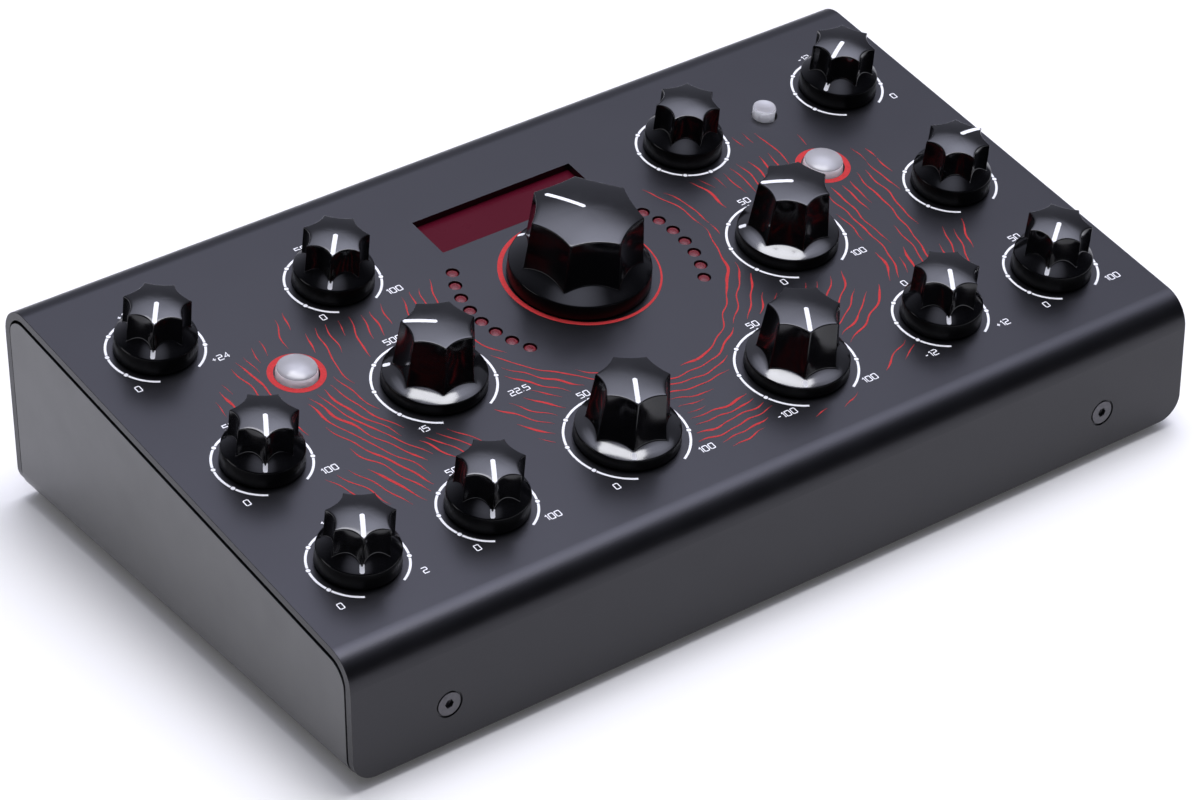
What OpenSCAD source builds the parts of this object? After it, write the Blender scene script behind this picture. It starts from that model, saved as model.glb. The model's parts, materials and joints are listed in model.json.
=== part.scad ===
// Desktop delay unit: a folded sheet cover over a folded tray, fluted knobs on pots that hang a board
// under the sloping panel, domed buttons, two arcs of lamps, a display window and sockets at the back.
// Millimetres, +Z up, +Y towards the back. The origin is the middle of the footprint, on the table.

/* [Case] */
// Width of the case over the cheeks
case_w = 242; // [236:1:270]
// Depth of the case from the front face to the back face
case_d = 142; // [140:1:170]
// Height of the front face, up to where its plane meets the panel's
front_h = 32; // [31:0.5:42]
// Slope of the panel in degrees
panel_slope = 8.7; // [6:0.1:13]
// Thickness of the cover's sheet
cover_sheet = 2; // [2:0.1:3]
// Outer radius of the cover's bends
bend_r = 8; // [5:0.5:9]
// Thickness of the tray's sheet
tray_sheet = 2; // [1.2:0.1:3]
// Outer radius of the tray's long bends, which the cover's lower corners follow
tray_bend_r = 6; // [4:0.5:8]
// How far the tray's underside lies below the cover's lower edge
tray_drop = 0.4; // [0:0.1:1]
// Gap that shows between the cover's front and the cheeks
reveal_gap = 0.6; // [0.4:0.1:1]
// Wider gap between the sloping panel and the cheeks
top_gap = 1.1; // [0.5:0.1:1.5]
// Narrow gap between the cover's back and the cheeks
back_gap = 0.15; // [0.1:0.05:0.3]

/* [Feet] */
// Diameter of a foot where it meets the tray
foot_d = 12; // [8:0.5:18]
// Height of a foot
foot_h = 2.5; // [1.5:0.1:6]
// How much narrower a foot is where it stands
foot_taper = 1; // [0:0.1:3]
// Distance of a foot's centre from the side of the case
foot_in_x = 20; // [14:1:40]
// Distance of a foot's centre from the front or back of the case
foot_in_y = 20; // [18:1:40]

/* [Cover screws] */
// Distance of the screws from the sides of the case
screw_in = 25.6; // [18:0.1:28]
// Height of the screws above the cover's lower edge
screw_rise = 10.6; // [8:0.1:14]
// Diameter of the thread
screw_d = 3; // [2.8:0.1:3.5]
// Diameter of the flat head
head_d = 6; // [5.4:0.1:6.2]
// Straight edge of the head above its cone
head_land = 0.4; // [0.3:0.05:0.6]
// How far the head lies below the surface
head_low = 0.05; // [0:0.01:0.1]
// Diameter of the round pocket that the head lies in
sink_d = 6.9; // [6.6:0.1:7]
// Length of the screw
screw_len = 8; // [7.5:0.5:12]
// Size of the hexagon socket across its flats
socket_af = 2; // [1.5:0.1:2.4]
// Depth of the hexagon socket
socket_deep = 1.1; // [0.6:0.1:1.3]
// Radial clearance round the thread in a plain hole
hole_clear = 0.2; // [0.1:0.05:0.4]
// Width of a tray tab
tab_w = 16; // [12:0.5:24]
// Metal of a tab above its screw
tab_over = 6; // [5:0.5:9]
// Outer radius of the bend that raises a tab
tab_bend_r = 3; // [2.2:0.1:4]
// Relief cut beside a tab
tab_relief = 1; // [0.5:0.1:2]
// Diameter of a clinch nut
clinch_d = 6.3; // [5.5:0.1:8]
// Height of a clinch nut
clinch_h = 2.2; // [1.5:0.1:3]

/* [Fits] */
// Gap between still pieces that are assembled side by side
fit_gap = 0.2; // [0.1:0.05:0.3]
// Radial clearance of a shaft that turns or a plunger that slides
run_clear = 0.05; // [0.02:0.01:0.1]
// Radial clearance of a thread in its nut and of a knob on its shaft
thread_clear = 0.04; // [0.02:0.01:0.08]
// Gap round a button in the panel
button_gap = 0.35; // [0.3:0.05:0.6]

/* [Panel layout] */
// Distance of the outermost small knobs from the sides of the case
outer_in = 20.35; // [16:0.05:23]
// Column of the small knobs in the back row
col_back = 51.7; // [48:0.1:56]
// Column of the small knobs in the front row
col_front = 65.9; // [60:0.1:70]
// Column of the medium knobs beside the large one
col_middle = 51.7; // [50:0.1:56]
// Column of the medium knobs before the large one
col_inner = 24.7; // [20:0.1:30]
// Column of the buttons
col_button = 77.4; // [75:0.1:79]
// Distances below run up the panel from its front edge: small knobs of the front row
row_front = 26.9; // [24:0.1:32]
// Medium knobs before the large one
row_inner = 30; // [26:0.1:34]
// Outer small knobs of the middle row
row_side = 65.1; // [58:0.1:70]
// Medium knobs beside the large one
row_middle = 68.1; // [64:0.1:72]
// Large knob and the middle of the lamp arcs
row_large = 82.4; // [80:0.1:85]
// Domed buttons
row_button = 86; // [82:0.1:90]
// Small knobs of the back row
row_back = 109.8; // [106:0.1:114]
// Middle of the display window
row_window = 111.9; // [111:0.1:115]

/* [Small knob] */
// Diameter of the skirt at the panel
small_skirt_d = 19.6; // [18:0.1:22]
// Height of the skirt's rim above the panel
small_rim_h = 4.6; // [4:0.1:6]
// Slope of the skirt above its rim in degrees
small_skirt_slope = 40; // [25:1:45]
// Diameter over the cusps at the top
small_top_d = 16; // [15:0.1:16.2]
// Diameter over the cusps where they meet the skirt
small_base_d = 16.2; // [16:0.1:17.4]
// Least diameter between the flutes at the top
small_valley_d = 12.3; // [11:0.1:12.8]
// Height of the cusps above the panel
small_cusp_h = 13.6; // [12.8:0.1:17]
// Rise of the domed top over the cusps
small_dome = 1.2; // [0.5:0.1:2]

/* [Medium knob] */
// Diameter of the skirt at the panel
medium_skirt_d = 25; // [22.5:0.1:27]
// Height of the skirt's rim above the panel
medium_rim_h = 3.3; // [3:0.1:5]
// Slope of the skirt above its rim in degrees
medium_skirt_slope = 22; // [12:1:35]
// Diameter over the cusps at the top
medium_top_d = 17.5; // [16:0.1:19]
// Diameter over the cusps where they meet the skirt
medium_base_d = 20; // [18.5:0.1:21]
// Least diameter between the flutes at the top
medium_valley_d = 14.5; // [13:0.1:15]
// Height of the cusps above the panel
medium_cusp_h = 17; // [14:0.1:20]
// Rise of the domed top over the cusps
medium_dome = 0.8; // [0.4:0.1:2]

/* [Large knob] */
// Diameter of the skirt at the panel
large_skirt_d = 34.6; // [32:0.1:38]
// Height of the skirt's rim above the panel
large_rim_h = 4.2; // [3.5:0.1:6]
// Slope of the skirt above its rim in degrees
large_skirt_slope = 34; // [20:1:40]
// Diameter over the cusps at the top
large_top_d = 27.5; // [25:0.1:29]
// Diameter over the cusps where they meet the skirt
large_base_d = 29.6; // [27.5:0.1:31]
// Least diameter between the flutes at the top
large_valley_d = 23.5; // [20:0.1:24.5]
// Height of the cusps above the panel
large_cusp_h = 18.9; // [15:0.1:24]
// Rise of the domed top over the cusps
large_dome = 1.6; // [0.6:0.1:3]

/* [Knob details] */
// Flutes on every knob
flute_count = 7; // [6:1:9]
// How far the flutes' own cusps would reach past the blunted edge
cusp_blunt = 0.12; // [0.05:0.01:0.3]
// How much the rim narrows towards its top, on the radius
rim_draft = 0.15; // [0.05:0.05:0.4]
// Gap between a skirt and the panel
skirt_gap = 0.5; // [0.4:0.1:1]
// Wall of a skirt
skirt_wall = 1.4; // [1:0.1:2]

/* [Knob angles at rest] */
// Angles run anticlockwise from the right, seen from above: gain
gain_angle = 233; // [-60:1:240]
// Motion
motion_angle = 230; // [-60:1:240]
// Filter
filter_angle = 240; // [-60:1:240]
// Modulation speed
mod_speed_angle = 240; // [-60:1:240]
// Modulation depth
mod_depth_angle = 240; // [-60:1:240]
// Filter cutoff
cutoff_angle = 143; // [-60:1:240]
// Reverb
reverb_angle = 240; // [-60:1:240]
// Volume
volume_angle = 209; // [-60:1:240]
// Data encoder
data_angle = 238; // [-60:1:240]
// Ping-pong
ping_pong_angle = 3; // [-60:1:240]
// Shimmer
shimmer_angle = 218; // [-60:1:240]
// Pitch
pitch_angle = 239; // [-60:1:240]
// Feedback
feedback_angle = 149; // [-60:1:240]
// Dry and wet mix
mix_angle = 240; // [-60:1:240]
// Delay time
time_angle = 116; // [-60:1:240]

/* [Potentiometers] */
// Width of a potentiometer's housing
pot_w = 9.8; // [9:0.1:11]
// Length of a potentiometer's housing up the panel
pot_l = 11.4; // [10:0.1:13]
// Depth of the housings between the panel and the control board
pot_deep = 6.8; // [6.5:0.1:9]
// Width of the encoder's housing
encoder_w = 12.4; // [11:0.1:14]
// Length of the encoder's housing up the panel
encoder_l = 13.2; // [12:0.1:15]
// Diameter of a threaded bush
bush_d = 7; // [6.8:0.1:8]
// Thread left standing above the nut
bush_over = 0.6; // [0.3:0.1:1]
// Diameter of a shaft
shaft_d = 6; // [5:0.1:6.2]
// Depth of the flat on a shaft
shaft_flat = 1.5; // [1:0.1:2]
// Height of a shaft's end above the panel
shaft_top = 11.5; // [9:0.1:12.2]
// Length of a shaft inside its housing
shaft_in = 2; // [1:0.1:4]
// Size of a bush nut across its flats
bush_nut_af = 10; // [9:0.1:10.5]
// Height of a bush nut
bush_nut_h = 2; // [1.6:0.1:2.2]
// Diameter of a bush washer
washer_d = 11.4; // [10.5:0.1:12]
// Thickness of a bush washer
washer_h = 0.5; // [0.3:0.1:0.6]

/* [Buttons] */
// Diameter of a domed cap
dome_d = 10.1; // [9:0.1:11.5]
// Height of a domed cap's straight wall above the panel
dome_wall = 1.9; // [1:0.1:2.5]
// Rise of the dome over that wall
dome_rise = 1.1; // [0.6:0.1:2]
// How much that wall narrows up to the dome, on the radius
dome_draft = 0.3; // [0.1:0.05:0.5]
// Diameter of the small flat cap
flat_d = 5.8; // [5:0.1:7]
// Height of the small cap above the panel
flat_h = 2.4; // [1.5:0.1:4]
// Dish in the top of the small cap
flat_dish = 0.25; // [0.1:0.05:0.4]
// How far a button travels
press = 0.5; // [0.3:0.1:0.8]
// Lip that keeps a cap under the panel
cap_lip = 1.1; // [0.8:0.1:1.5]
// Thickness of that lip
cap_lip_h = 1.4; // [1:0.1:1.6]
// Width of a switch housing
tact_w = 6.2; // [6:0.1:8]
// Height of a switch housing
tact_h = 3.4; // [2.6:0.1:3.5]
// Diameter of a switch plunger
plunger_d = 3.4; // [3:0.1:4]
// Length of a plunger inside its housing at rest
plunger_in = 1.4; // [0.8:0.1:1.5]

/* [Display] */
// Width of the window
window_w = 46.4; // [40:0.1:50]
// Height of the window up the panel
window_l = 13; // [11:0.1:14]
// Thickness of the red filter
filter_t = 1.5; // [1:0.1:2]
// How far the filter laps the panel round the window
filter_lap = 1.8; // [1.5:0.1:2.2]
// Width of the display module
module_w = 47; // [40:0.1:50]
// Height of the display module up the panel
module_l = 14; // [12:0.1:15]

/* [Lamps] */
// Lamps in each arc
lamp_count = 8; // [4:1:9]
// Radius of the arcs about the large knob
lamp_ring = 30; // [28.5:0.1:31]
// Angle from lamp to lamp in degrees
lamp_step = 9.05; // [8.2:0.05:9.5]
// Diameter of a lamp
lamp_d = 3; // [2.4:0.1:3.2]
// Gap round a lamp in its hole
lamp_gap = 0.15; // [0.1:0.05:0.2]
// How far a lamp's top lies below the panel's face
lamp_sink = 0.4; // [0.2:0.1:1]
// Rise of a lamp's rounded top
lamp_dome = 0.5; // [0.3:0.1:0.8]
// How much wider a lamp's foot is on the radius
lamp_foot = 0.4; // [0.2:0.1:0.6]

/* [Boards] */
// Thickness of both boards
board_t = 1.6; // [1:0.1:2]
// Gap between the control board and the cheeks
board_side = 5; // [3:0.5:6]
// Distance of the control board's front edge from the panel's front edge
board_front = 12; // [11:0.5:15]
// Distance of the control board's back edge from the panel's back edge
board_back = 16; // [14:0.5:18]
// Height of the main board's upper face above the tray's underside
main_rise = 13; // [10:0.5:15]
// Depth of the main board
main_d = 52; // [48:0.5:60]
// Board beside the outermost sockets
main_side = 14; // [11:0.5:16]
// Width of the ribbon cable
ribbon_w = 26; // [16:1:34]
// Thickness of the ribbon cable
ribbon_t = 0.9; // [0.6:0.1:1.4]
// Depth of a ribbon connector, front to back
plug_d = 8; // [6:0.5:10]
// Height of a ribbon connector
plug_h = 6; // [5:0.5:7]
// Distance of the connectors from the main board's front edge
plug_in = 6; // [4:0.5:10]
// Straight stretch of ribbon before a connector
ribbon_lead = 6; // [4:0.5:10]

/* [Back sockets] */
// Distance from jack to jack
jack_pitch = 24; // [22:0.5:24]
// Place of the outermost jack across the case
jack_x = 72; // [70:0.5:74]
// Number of jacks
jack_count = 4; // [2:1:4]
// Width of a jack housing
jack_w = 16; // [14:0.1:18]
// Height of a jack housing
jack_h = 17; // [16:0.1:20]
// Height of a jack's axis above the board
jack_axis = 8.5; // [8:0.1:9.5]
// Depth of a jack's bore from its mouth
jack_bore_deep = 31; // [28:0.5:34]
// Diameter of a jack's bore
jack_bore_d = 6.4; // [6.4:0.05:6.6]
// Diameter of a jack's threaded nose
jack_nose_d = 9.4; // [9:0.1:10.5]
// How far the nose stands out of the back
jack_proud = 4; // [3.6:0.1:5]
// Solid end of a jack housing behind its bore
jack_end = 2; // [1:0.1:3]
// Size of a jack nut across its flats
jack_nut_af = 13; // [12:0.1:14]
// Height of a jack nut
jack_nut_h = 2.6; // [2:0.1:3]
// Place of the note-data socket across the case
din_x = -27; // [-29:0.5:-25]
// Width of the note-data socket's housing
din_w = 18; // [17:0.1:20]
// Depth of the note-data socket's housing
din_deep = 13; // [12:0.1:16]
// Height of the note-data socket's axis above the board
din_axis = 10; // [9:0.1:11]
// Outer diameter of the note-data socket's ring
din_ring_d = 15.2; // [15:0.1:16]
// Wall of that ring
din_wall = 0.6; // [0.5:0.1:0.7]
// Diameter of the pin block inside the ring
din_core_d = 12.2; // [11.6:0.1:12.4]
// Depth of the slot between ring and pin block
din_slot = 8; // [6:0.1:10]
// Circle of the five pin holes
din_pin_ring = 7; // [6.5:0.1:7.5]
// Diameter of a pin hole
din_pin_d = 1.6; // [1.4:0.1:1.8]
// Place of the power switch across the case
switch_x = -53; // [-55:0.5:-51]
// Width of the switch housing
switch_w = 13; // [12:0.1:14]
// Height of the switch housing
switch_h = 20; // [19.4:0.1:21]
// Depth of the switch housing behind the back face
switch_deep = 14; // [13:0.5:18]
// How far the switch housing stands out of the back
switch_proud = 1; // [0.5:0.1:1.5]
// Wall of the switch housing
switch_wall = 1; // [0.8:0.1:1.2]
// Radius of the rocker's round ends about its pivot
rocker_r = 8.6; // [8:0.1:8.8]
// Gap between the rocker and its housing
rocker_gap = 0.4; // [0.3:0.1:0.6]
// Depth of the rocker's pivot below the housing's face
rocker_pivot = 3.4; // [3:0.1:4]
// Angle that the rocker swings through in degrees
rocker_swing = 16; // [10:1:18]
// Rise of the rocker's face above its pivot in the middle
rocker_crest = 4.2; // [3.8:0.1:4.6]
// Dip of the rocker below its pivot
rocker_keel = 3.6; // [3:0.1:4.5]
// Diameter of the rocker's trunnions
trunnion_d = 2; // [1.6:0.1:2.4]
// Place of the power inlet across the case
inlet_x = -73; // [-75:0.5:-71]
// Width of the power inlet's housing
inlet_w = 9.4; // [9:0.1:11]
// Height of the power inlet's housing
inlet_h = 11; // [10.5:0.1:12]
// Depth of the power inlet's housing
inlet_deep = 13; // [12:0.5:15]
// Height of the power inlet's axis above the board
inlet_axis = 6.4; // [6:0.1:6.8]
// Diameter of the power inlet's round nose
inlet_nose_d = 8.2; // [7.6:0.1:8.6]
// Diameter of the power inlet's bore
inlet_bore_d = 5.7; // [5.5:0.1:6.3]
// Depth of the power inlet's bore
inlet_bore_deep = 9.5; // [8:0.5:10.5]
// Diameter of the pin in the power inlet
inlet_pin_d = 2; // [1.9:0.1:2.5]

/* [Hidden] */
$fn = 64;
eps = 0.01;
// Hair by which a rounding passes its flats, so that the two always join
hair = 0.002;
y_front = -(case_d + jack_proud) / 2;
y_back = y_front + case_d;
tray_z = foot_h;
cover_z = tray_z + tray_drop;
corner_z = cover_z + front_h;
back_corner_z = corner_z + case_d * tan(panel_slope);
panel_l = case_d / cos(panel_slope);
front_run = bend_r * tan((90 - panel_slope) / 2);
back_run = bend_r * tan((90 + panel_slope) / 2);
cheek_in = cover_sheet + back_gap;
cheek_shift = reveal_gap - back_gap;
cheek_drop = (top_gap - back_gap - cheek_shift * sin(panel_slope)) / cos(panel_slope);
screw_x = case_w / 2 - screw_in;
screw_z = cover_z + screw_rise;
col_outer = case_w / 2 - outer_in;
tab_y = y_front + cover_sheet + fit_gap;
bush_top = washer_h + bush_nut_h + bush_over;
nut_pocket_d = max(bush_nut_af / cos(30), washer_d) + 1.2;
board_top = -cover_sheet - pot_deep;
lip_top = -cover_sheet - button_gap;
cap_foot = lip_top - cap_lip_h;
tact_top = board_top + tact_h;
main_top = tray_z + main_rise;
main_y1 = y_back - cover_sheet - fit_gap;
main_y0 = main_y1 - main_d;
jack_y1 = y_back - cover_sheet - fit_gap;
jack_z = main_top + jack_axis;
din_z = main_top + din_axis;
switch_z = main_top + switch_h / 2;
inlet_z = main_top + inlet_axis;
rocker_y = y_back + switch_proud - rocker_pivot;
rocker_w = switch_w - 2 * (switch_wall + rocker_gap);
jack_xs = [for (i = [0 : jack_count - 1]) jack_x - i * jack_pitch];

// Middle of the ribbon connectors, front to back, and its place up the panel
plug_y = main_y0 + plug_in + plug_d / 2;
plug_up = (plug_y - y_front) / cos(panel_slope) + (board_top - board_t) * tan(panel_slope);
// Middle of the upper connector's front face, where the ribbon's upper lead ends
upper_w = board_top - board_t - plug_h / 2;
upper_up = plug_up - plug_d / 2;
upper_y = y_front + upper_up * cos(panel_slope) - upper_w * sin(panel_slope);
upper_z = corner_z + upper_up * sin(panel_slope) + upper_w * cos(panel_slope);
lower_z = main_top + plug_h / 2;
ribbon_r = (upper_z - lower_z) / 2;
ribbon_y = plug_y - plug_d / 2 - ribbon_lead;

// Skirt, rim height, skirt slope, top, base, valley, cusp height and dome of each knob size
SMALL = [small_skirt_d, small_rim_h, small_skirt_slope, small_top_d, small_base_d, small_valley_d,
    small_cusp_h, small_dome];
MEDIUM = [medium_skirt_d, medium_rim_h, medium_skirt_slope, medium_top_d, medium_base_d,
    medium_valley_d, medium_cusp_h, medium_dome];
LARGE = [large_skirt_d, large_rim_h, large_skirt_slope, large_top_d, large_base_d, large_valley_d,
    large_cusp_h, large_dome];

// Name, column, row, knob size and resting angle of every turning control
CONTROLS = [
    ["gain", -col_outer, row_back, SMALL, gain_angle],
    ["motion", -col_back, row_back, SMALL, motion_angle],
    ["filter", -col_outer, row_side, SMALL, filter_angle],
    ["mod_speed", -col_outer, row_front, SMALL, mod_speed_angle],
    ["mod_depth", -col_front, row_front, SMALL, mod_depth_angle],
    ["cutoff", -col_middle, row_middle, MEDIUM, cutoff_angle],
    ["reverb", -col_inner, row_inner, MEDIUM, reverb_angle],
    ["volume", col_outer, row_back, SMALL, volume_angle],
    ["ping_pong", col_outer, row_side, SMALL, ping_pong_angle],
    ["shimmer", col_outer, row_front, SMALL, shimmer_angle],
    ["pitch", col_front, row_front, SMALL, pitch_angle],
    ["feedback", col_middle, row_middle, MEDIUM, feedback_angle],
    ["mix", col_inner, row_inner, MEDIUM, mix_angle],
    ["time", 0, row_large, LARGE, time_angle],
    ["data", col_back, row_back, SMALL, data_angle]
];
POTS = [for (c = CONTROLS) if (c[0] != "data") c];
DATA = [for (c = CONTROLS) if (c[0] == "data") c][0];

// Name, column, row and cap diameter of every button
BUTTONS = [
    ["freeze", -col_button, row_button, dome_d],
    ["tap", col_button, row_button, dome_d],
    ["back", col_button, row_back, flat_d]
];

// Places children on the panel: column, distance up the panel, height above its face
module on_panel(x, up, w = 0) {
    translate([0, y_front, corner_z]) rotate([panel_slope, 0, 0]) translate([x, up, w]) children();
}

// Places children in the back face, with their Z pointing out of it
module on_back(x, z, out = 0) {
    translate([x, y_back + out, z]) rotate([-90, 0, 0]) children();
}

// Places children in the front face, with their Z pointing out of it
module on_front(x, z, out = 0) {
    translate([x, y_front - out, z]) rotate([90, 0, 0]) children();
}

// Makes a second copy turned front to back
module front_and_back() {
    children();
    translate([0, y_front + y_back, 0]) mirror([0, 1, 0]) children();
}

// Makes a mirrored copy on the other side
module both_sides() {
    children();
    mirror([1, 0, 0]) children();
}

// Block centred across and along, standing on its own zero
module block(w, l, h) {
    translate([-w / 2, -l / 2, 0]) cube([w, l, h]);
}

// Extrudes a drawing of the case's side, in depth and height, across the case
module across(x0, x1) {
    translate([x0, 0, 0]) rotate([90, 0, 90]) linear_extrude(x1 - x0) children();
}

// Drawing of the case's side, a given distance inside the cover's outer face, with both bends round
module side_outline(inset, low) {
    r = bend_r - inset;
    up = r * [-sin(panel_slope), cos(panel_slope)];
    front_c = [y_front + bend_r, corner_z - front_run];
    back_c = [y_back - bend_r, back_corner_z - back_run];
    polygon([
        [y_front + inset, low], [y_back - inset, low], [y_back - inset, back_c[1]], back_c + up,
        front_c + up, [y_front + inset, front_c[1]]
    ]);
    for (c = [front_c, back_c]) translate(c) circle(r + hair);
}

// Drawing of the tray's section, a given distance inside its outer face, in width and height
module tray_outline(inset, high) {
    r = tray_bend_r - inset;
    translate([inset - case_w / 2, tray_z + tray_bend_r]) square([case_w - 2 * inset, high]);
    translate([tray_bend_r - case_w / 2, tray_z + inset]) square([case_w - 2 * tray_bend_r, r + 1]);
    for (x = [-1, 1]) translate([x * (case_w / 2 - tray_bend_r), tray_z + tray_bend_r]) circle(r + hair);
}

// Part of a turn across the case, counted upwards from the front's normal
module cross_bend(y, z, from, sweep, r_in, r_out, x0, x1) {
    translate([x1, y, z]) rotate([90, 0, -90]) rotate([0, 0, from]) rotate_extrude(angle = sweep)
        translate([r_in, 0]) square([r_out - r_in, x1 - x0]);
}

// Round bar whose top is domed and whose wall may narrow towards the dome
module domed(d, low, top, rise, draft = 0) {
    end_r = d / 2 - draft;
    r = (pow(end_r, 2) + pow(rise, 2)) / (2 * rise);
    lean = draft / (top - rise - low);
    difference() {
        translate([0, 0, low]) cylinder(r1 = d / 2, r2 = d / 2 - lean * (top - low + 1), h = top - low + 1);
        difference() {
            translate([0, 0, top - rise - 0.2]) cylinder(d = d + 2, h = rise + 2);
            translate([0, 0, top - r]) sphere(r = r);
        }
    }
}

// Waste outside a rounded lower corner of a flange, on the left at the front
module corner_waste() {
    translate([-case_w / 2, y_front - 1, cover_z]) difference() {
        translate([-1, 0, -1]) cube([tray_bend_r + 1, cover_sheet + 2, tray_bend_r + 1]);
        translate([tray_bend_r, 0, tray_bend_r]) rotate([-90, 0, 0])
            translate([0, 0, -1]) cylinder(r = tray_bend_r, h = cover_sheet + 4);
    }
}

// Countersunk hole for a cover screw, with its Z pointing out of the sheet
module sunk_hole() {
    low = -head_low - head_land;
    cone_h = (head_d - screw_d) / 2 + thread_clear - hole_clear;
    over = 0.1;
    translate([0, 0, low]) cylinder(d = sink_d, h = 1 - low);
    translate([0, 0, low - cone_h]) cylinder(d1 = screw_d + 2 * hole_clear,
        d2 = head_d + 2 * (thread_clear + over), h = cone_h + over);
    translate([0, 0, -cover_sheet - 1]) cylinder(d = screw_d + 2 * hole_clear, h = cover_sheet + 1);
}

// Folded sheet without its holes: front, panel and back in one piece
module folded_sheet() {
    across(-case_w / 2, case_w / 2) difference() {
        side_outline(0, cover_z);
        side_outline(cover_sheet, cover_z - 1);
    }
}

module panel_hole(x, up, d) {
    on_panel(x, up, -cover_sheet - 1) cylinder(d = d, h = cover_sheet + 2);
}

// Places children at every lamp of both arcs
module at_lamps() {
    for (side = [0, 180], i = [0 : lamp_count - 1]) {
        a = side + (i - (lamp_count - 1) / 2) * lamp_step;
        on_panel(lamp_ring * cos(a), row_large + lamp_ring * sin(a)) children();
    }
}

module top_cover() {
    color("#26262b") difference() {
        folded_sheet();
        front_and_back() both_sides() corner_waste();
        both_sides() on_front(screw_x, screw_z) sunk_hole();
        both_sides() on_back(screw_x, screw_z) sunk_hole();
        for (c = CONTROLS) panel_hole(c[1], c[2], bush_d + 2 * fit_gap);
        for (b = BUTTONS) panel_hole(b[1], b[2], b[3] + 2 * button_gap);
        at_lamps() translate([0, 0, -cover_sheet - 1])
            cylinder(d = lamp_d + 2 * lamp_gap, h = cover_sheet + 2);
        on_panel(0, row_window, -cover_sheet - 1) block(window_w, window_l, cover_sheet + 2);
        for (x = jack_xs) on_back(x, jack_z, -cover_sheet - 1)
            cylinder(d = jack_nose_d + 2 * fit_gap, h = cover_sheet + 2);
        on_back(din_x, din_z, -cover_sheet - 1)
            cylinder(d = din_ring_d + 2 * fit_gap, h = cover_sheet + 2);
        on_back(inlet_x, inlet_z, -cover_sheet - 1)
            cylinder(d = inlet_nose_d + 2 * fit_gap, h = cover_sheet + 2);
        on_back(switch_x, switch_z, -cover_sheet - 1)
            block(switch_w + 2 * fit_gap, switch_h + 2 * fit_gap, cover_sheet + 2);
    }
}

// Floor, side bends and cheeks in one folded piece, with the cheeks cut to follow the cover
module tray_channel() {
    intersection() {
        translate([0, y_back, 0]) rotate([90, 0, 0]) linear_extrude(case_d) difference() {
            tray_outline(0, back_corner_z);
            tray_outline(tray_sheet, back_corner_z + 1);
        }
        across(-case_w / 2 - 1, case_w / 2 + 1) side_outline(cheek_in, tray_z - 1);
        translate([0, cheek_shift, -cheek_drop])
            across(-case_w / 2 - 1, case_w / 2 + 1) side_outline(cheek_in, tray_z - 1);
    }
}

// Left front tab, raised from the tray's floor to take a cover screw
module tab() {
    x0 = -screw_x - tab_w / 2;
    translate([x0, tab_y, tray_z + tab_bend_r])
        cube([tab_w, tray_sheet, screw_z + tab_over - tray_z - tab_bend_r]);
    cross_bend(tab_y + tab_bend_r, tray_z + tab_bend_r, -90, 90, tab_bend_r - tray_sheet, tab_bend_r,
        x0, x0 + tab_w);
    translate([x0, tab_y + tab_bend_r, tray_z]) cube([tab_w, tab_bend_r, tray_sheet]);
}

// Clearing round a tab in the tray's floor
module tab_notch() {
    w = tab_w + 2 * tab_relief;
    translate([-screw_x - w / 2, y_front, tray_z - 1])
        cube([w, tab_y + tab_bend_r - y_front, tray_sheet + 2]);
}

module bottom_tray() {
    color("#2a2a2e") difference() {
        union() {
            difference() {
                tray_channel();
                front_and_back() both_sides() tab_notch();
            }
            front_and_back() both_sides() tab();
        }
        front_and_back() both_sides() on_front(screw_x, screw_z, -cover_sheet - fit_gap - tray_sheet - 1)
            cylinder(d = screw_d + 2 * hole_clear, h = tray_sheet + 2);
    }
}

// Flat-head screw lying in its countersink, Z pointing out of the head
module cover_screw() {
    cone_h = (head_d - screw_d) / 2;
    translate([0, 0, -head_low]) difference() {
        rotate_extrude() polygon([[0, -screw_len], [screw_d / 2, -screw_len],
            [screw_d / 2, -head_land - cone_h], [head_d / 2, -head_land], [head_d / 2, 0], [0, 0]]);
        translate([0, 0, -socket_deep]) cylinder(d = socket_af / cos(30), h = socket_deep + 1, $fn = 6);
    }
}

module cover_screws() {
    color("#1b1b1d") {
        both_sides() on_front(screw_x, screw_z) cover_screw();
        both_sides() on_back(screw_x, screw_z) cover_screw();
    }
}

module clinch_nuts() {
    color("#b9bcc0") front_and_back() both_sides()
        on_front(screw_x, screw_z, -cover_sheet - fit_gap - tray_sheet - clinch_h) difference() {
            cylinder(d = clinch_d, h = clinch_h);
            translate([0, 0, -1]) cylinder(d = screw_d + 2 * thread_clear, h = clinch_h + 2);
        }
}

module rubber_feet() {
    color("#141414") front_and_back() both_sides()
        translate([case_w / 2 - foot_in_x, y_front + foot_in_y, 0])
            cylinder(d1 = foot_d - foot_taper, d2 = foot_d, h = foot_h);
}

// Flutes that leave seven cusps on a knob, cut to the knob's taper
module flutes(k, base_h) {
    half = 180 / flute_count;
    cusp = k[3] / 2 + cusp_blunt;
    valley = k[5] / 2;
    sag = cusp * cos(half) - valley;
    r = (pow(cusp * sin(half), 2) + pow(sag, 2)) / (2 * sag);
    taper = atan((k[4] - k[3]) / 2 / (k[6] - base_h));
    for (i = [0 : flute_count - 1]) rotate([0, 0, (2 * i + 1) * half]) translate([valley + r, 0, k[6]])
        rotate([0, -taper, 0]) translate([0, 0, -2 * k[6]]) cylinder(r = r, h = 3 * k[6]);
}

// Bore of a knob, with the flat that meets the shaft's
module shaft_bore() {
    r = shaft_d / 2 + thread_clear;
    flat_x = shaft_d / 2 - shaft_flat + thread_clear;
    deep = shaft_top + fit_gap;
    intersection() {
        translate([0, 0, skirt_gap]) cylinder(r = r, h = deep - skirt_gap);
        translate([flat_x - 2 * shaft_d, -shaft_d, 0]) cube([2 * shaft_d, 2 * shaft_d, deep]);
    }
}

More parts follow.
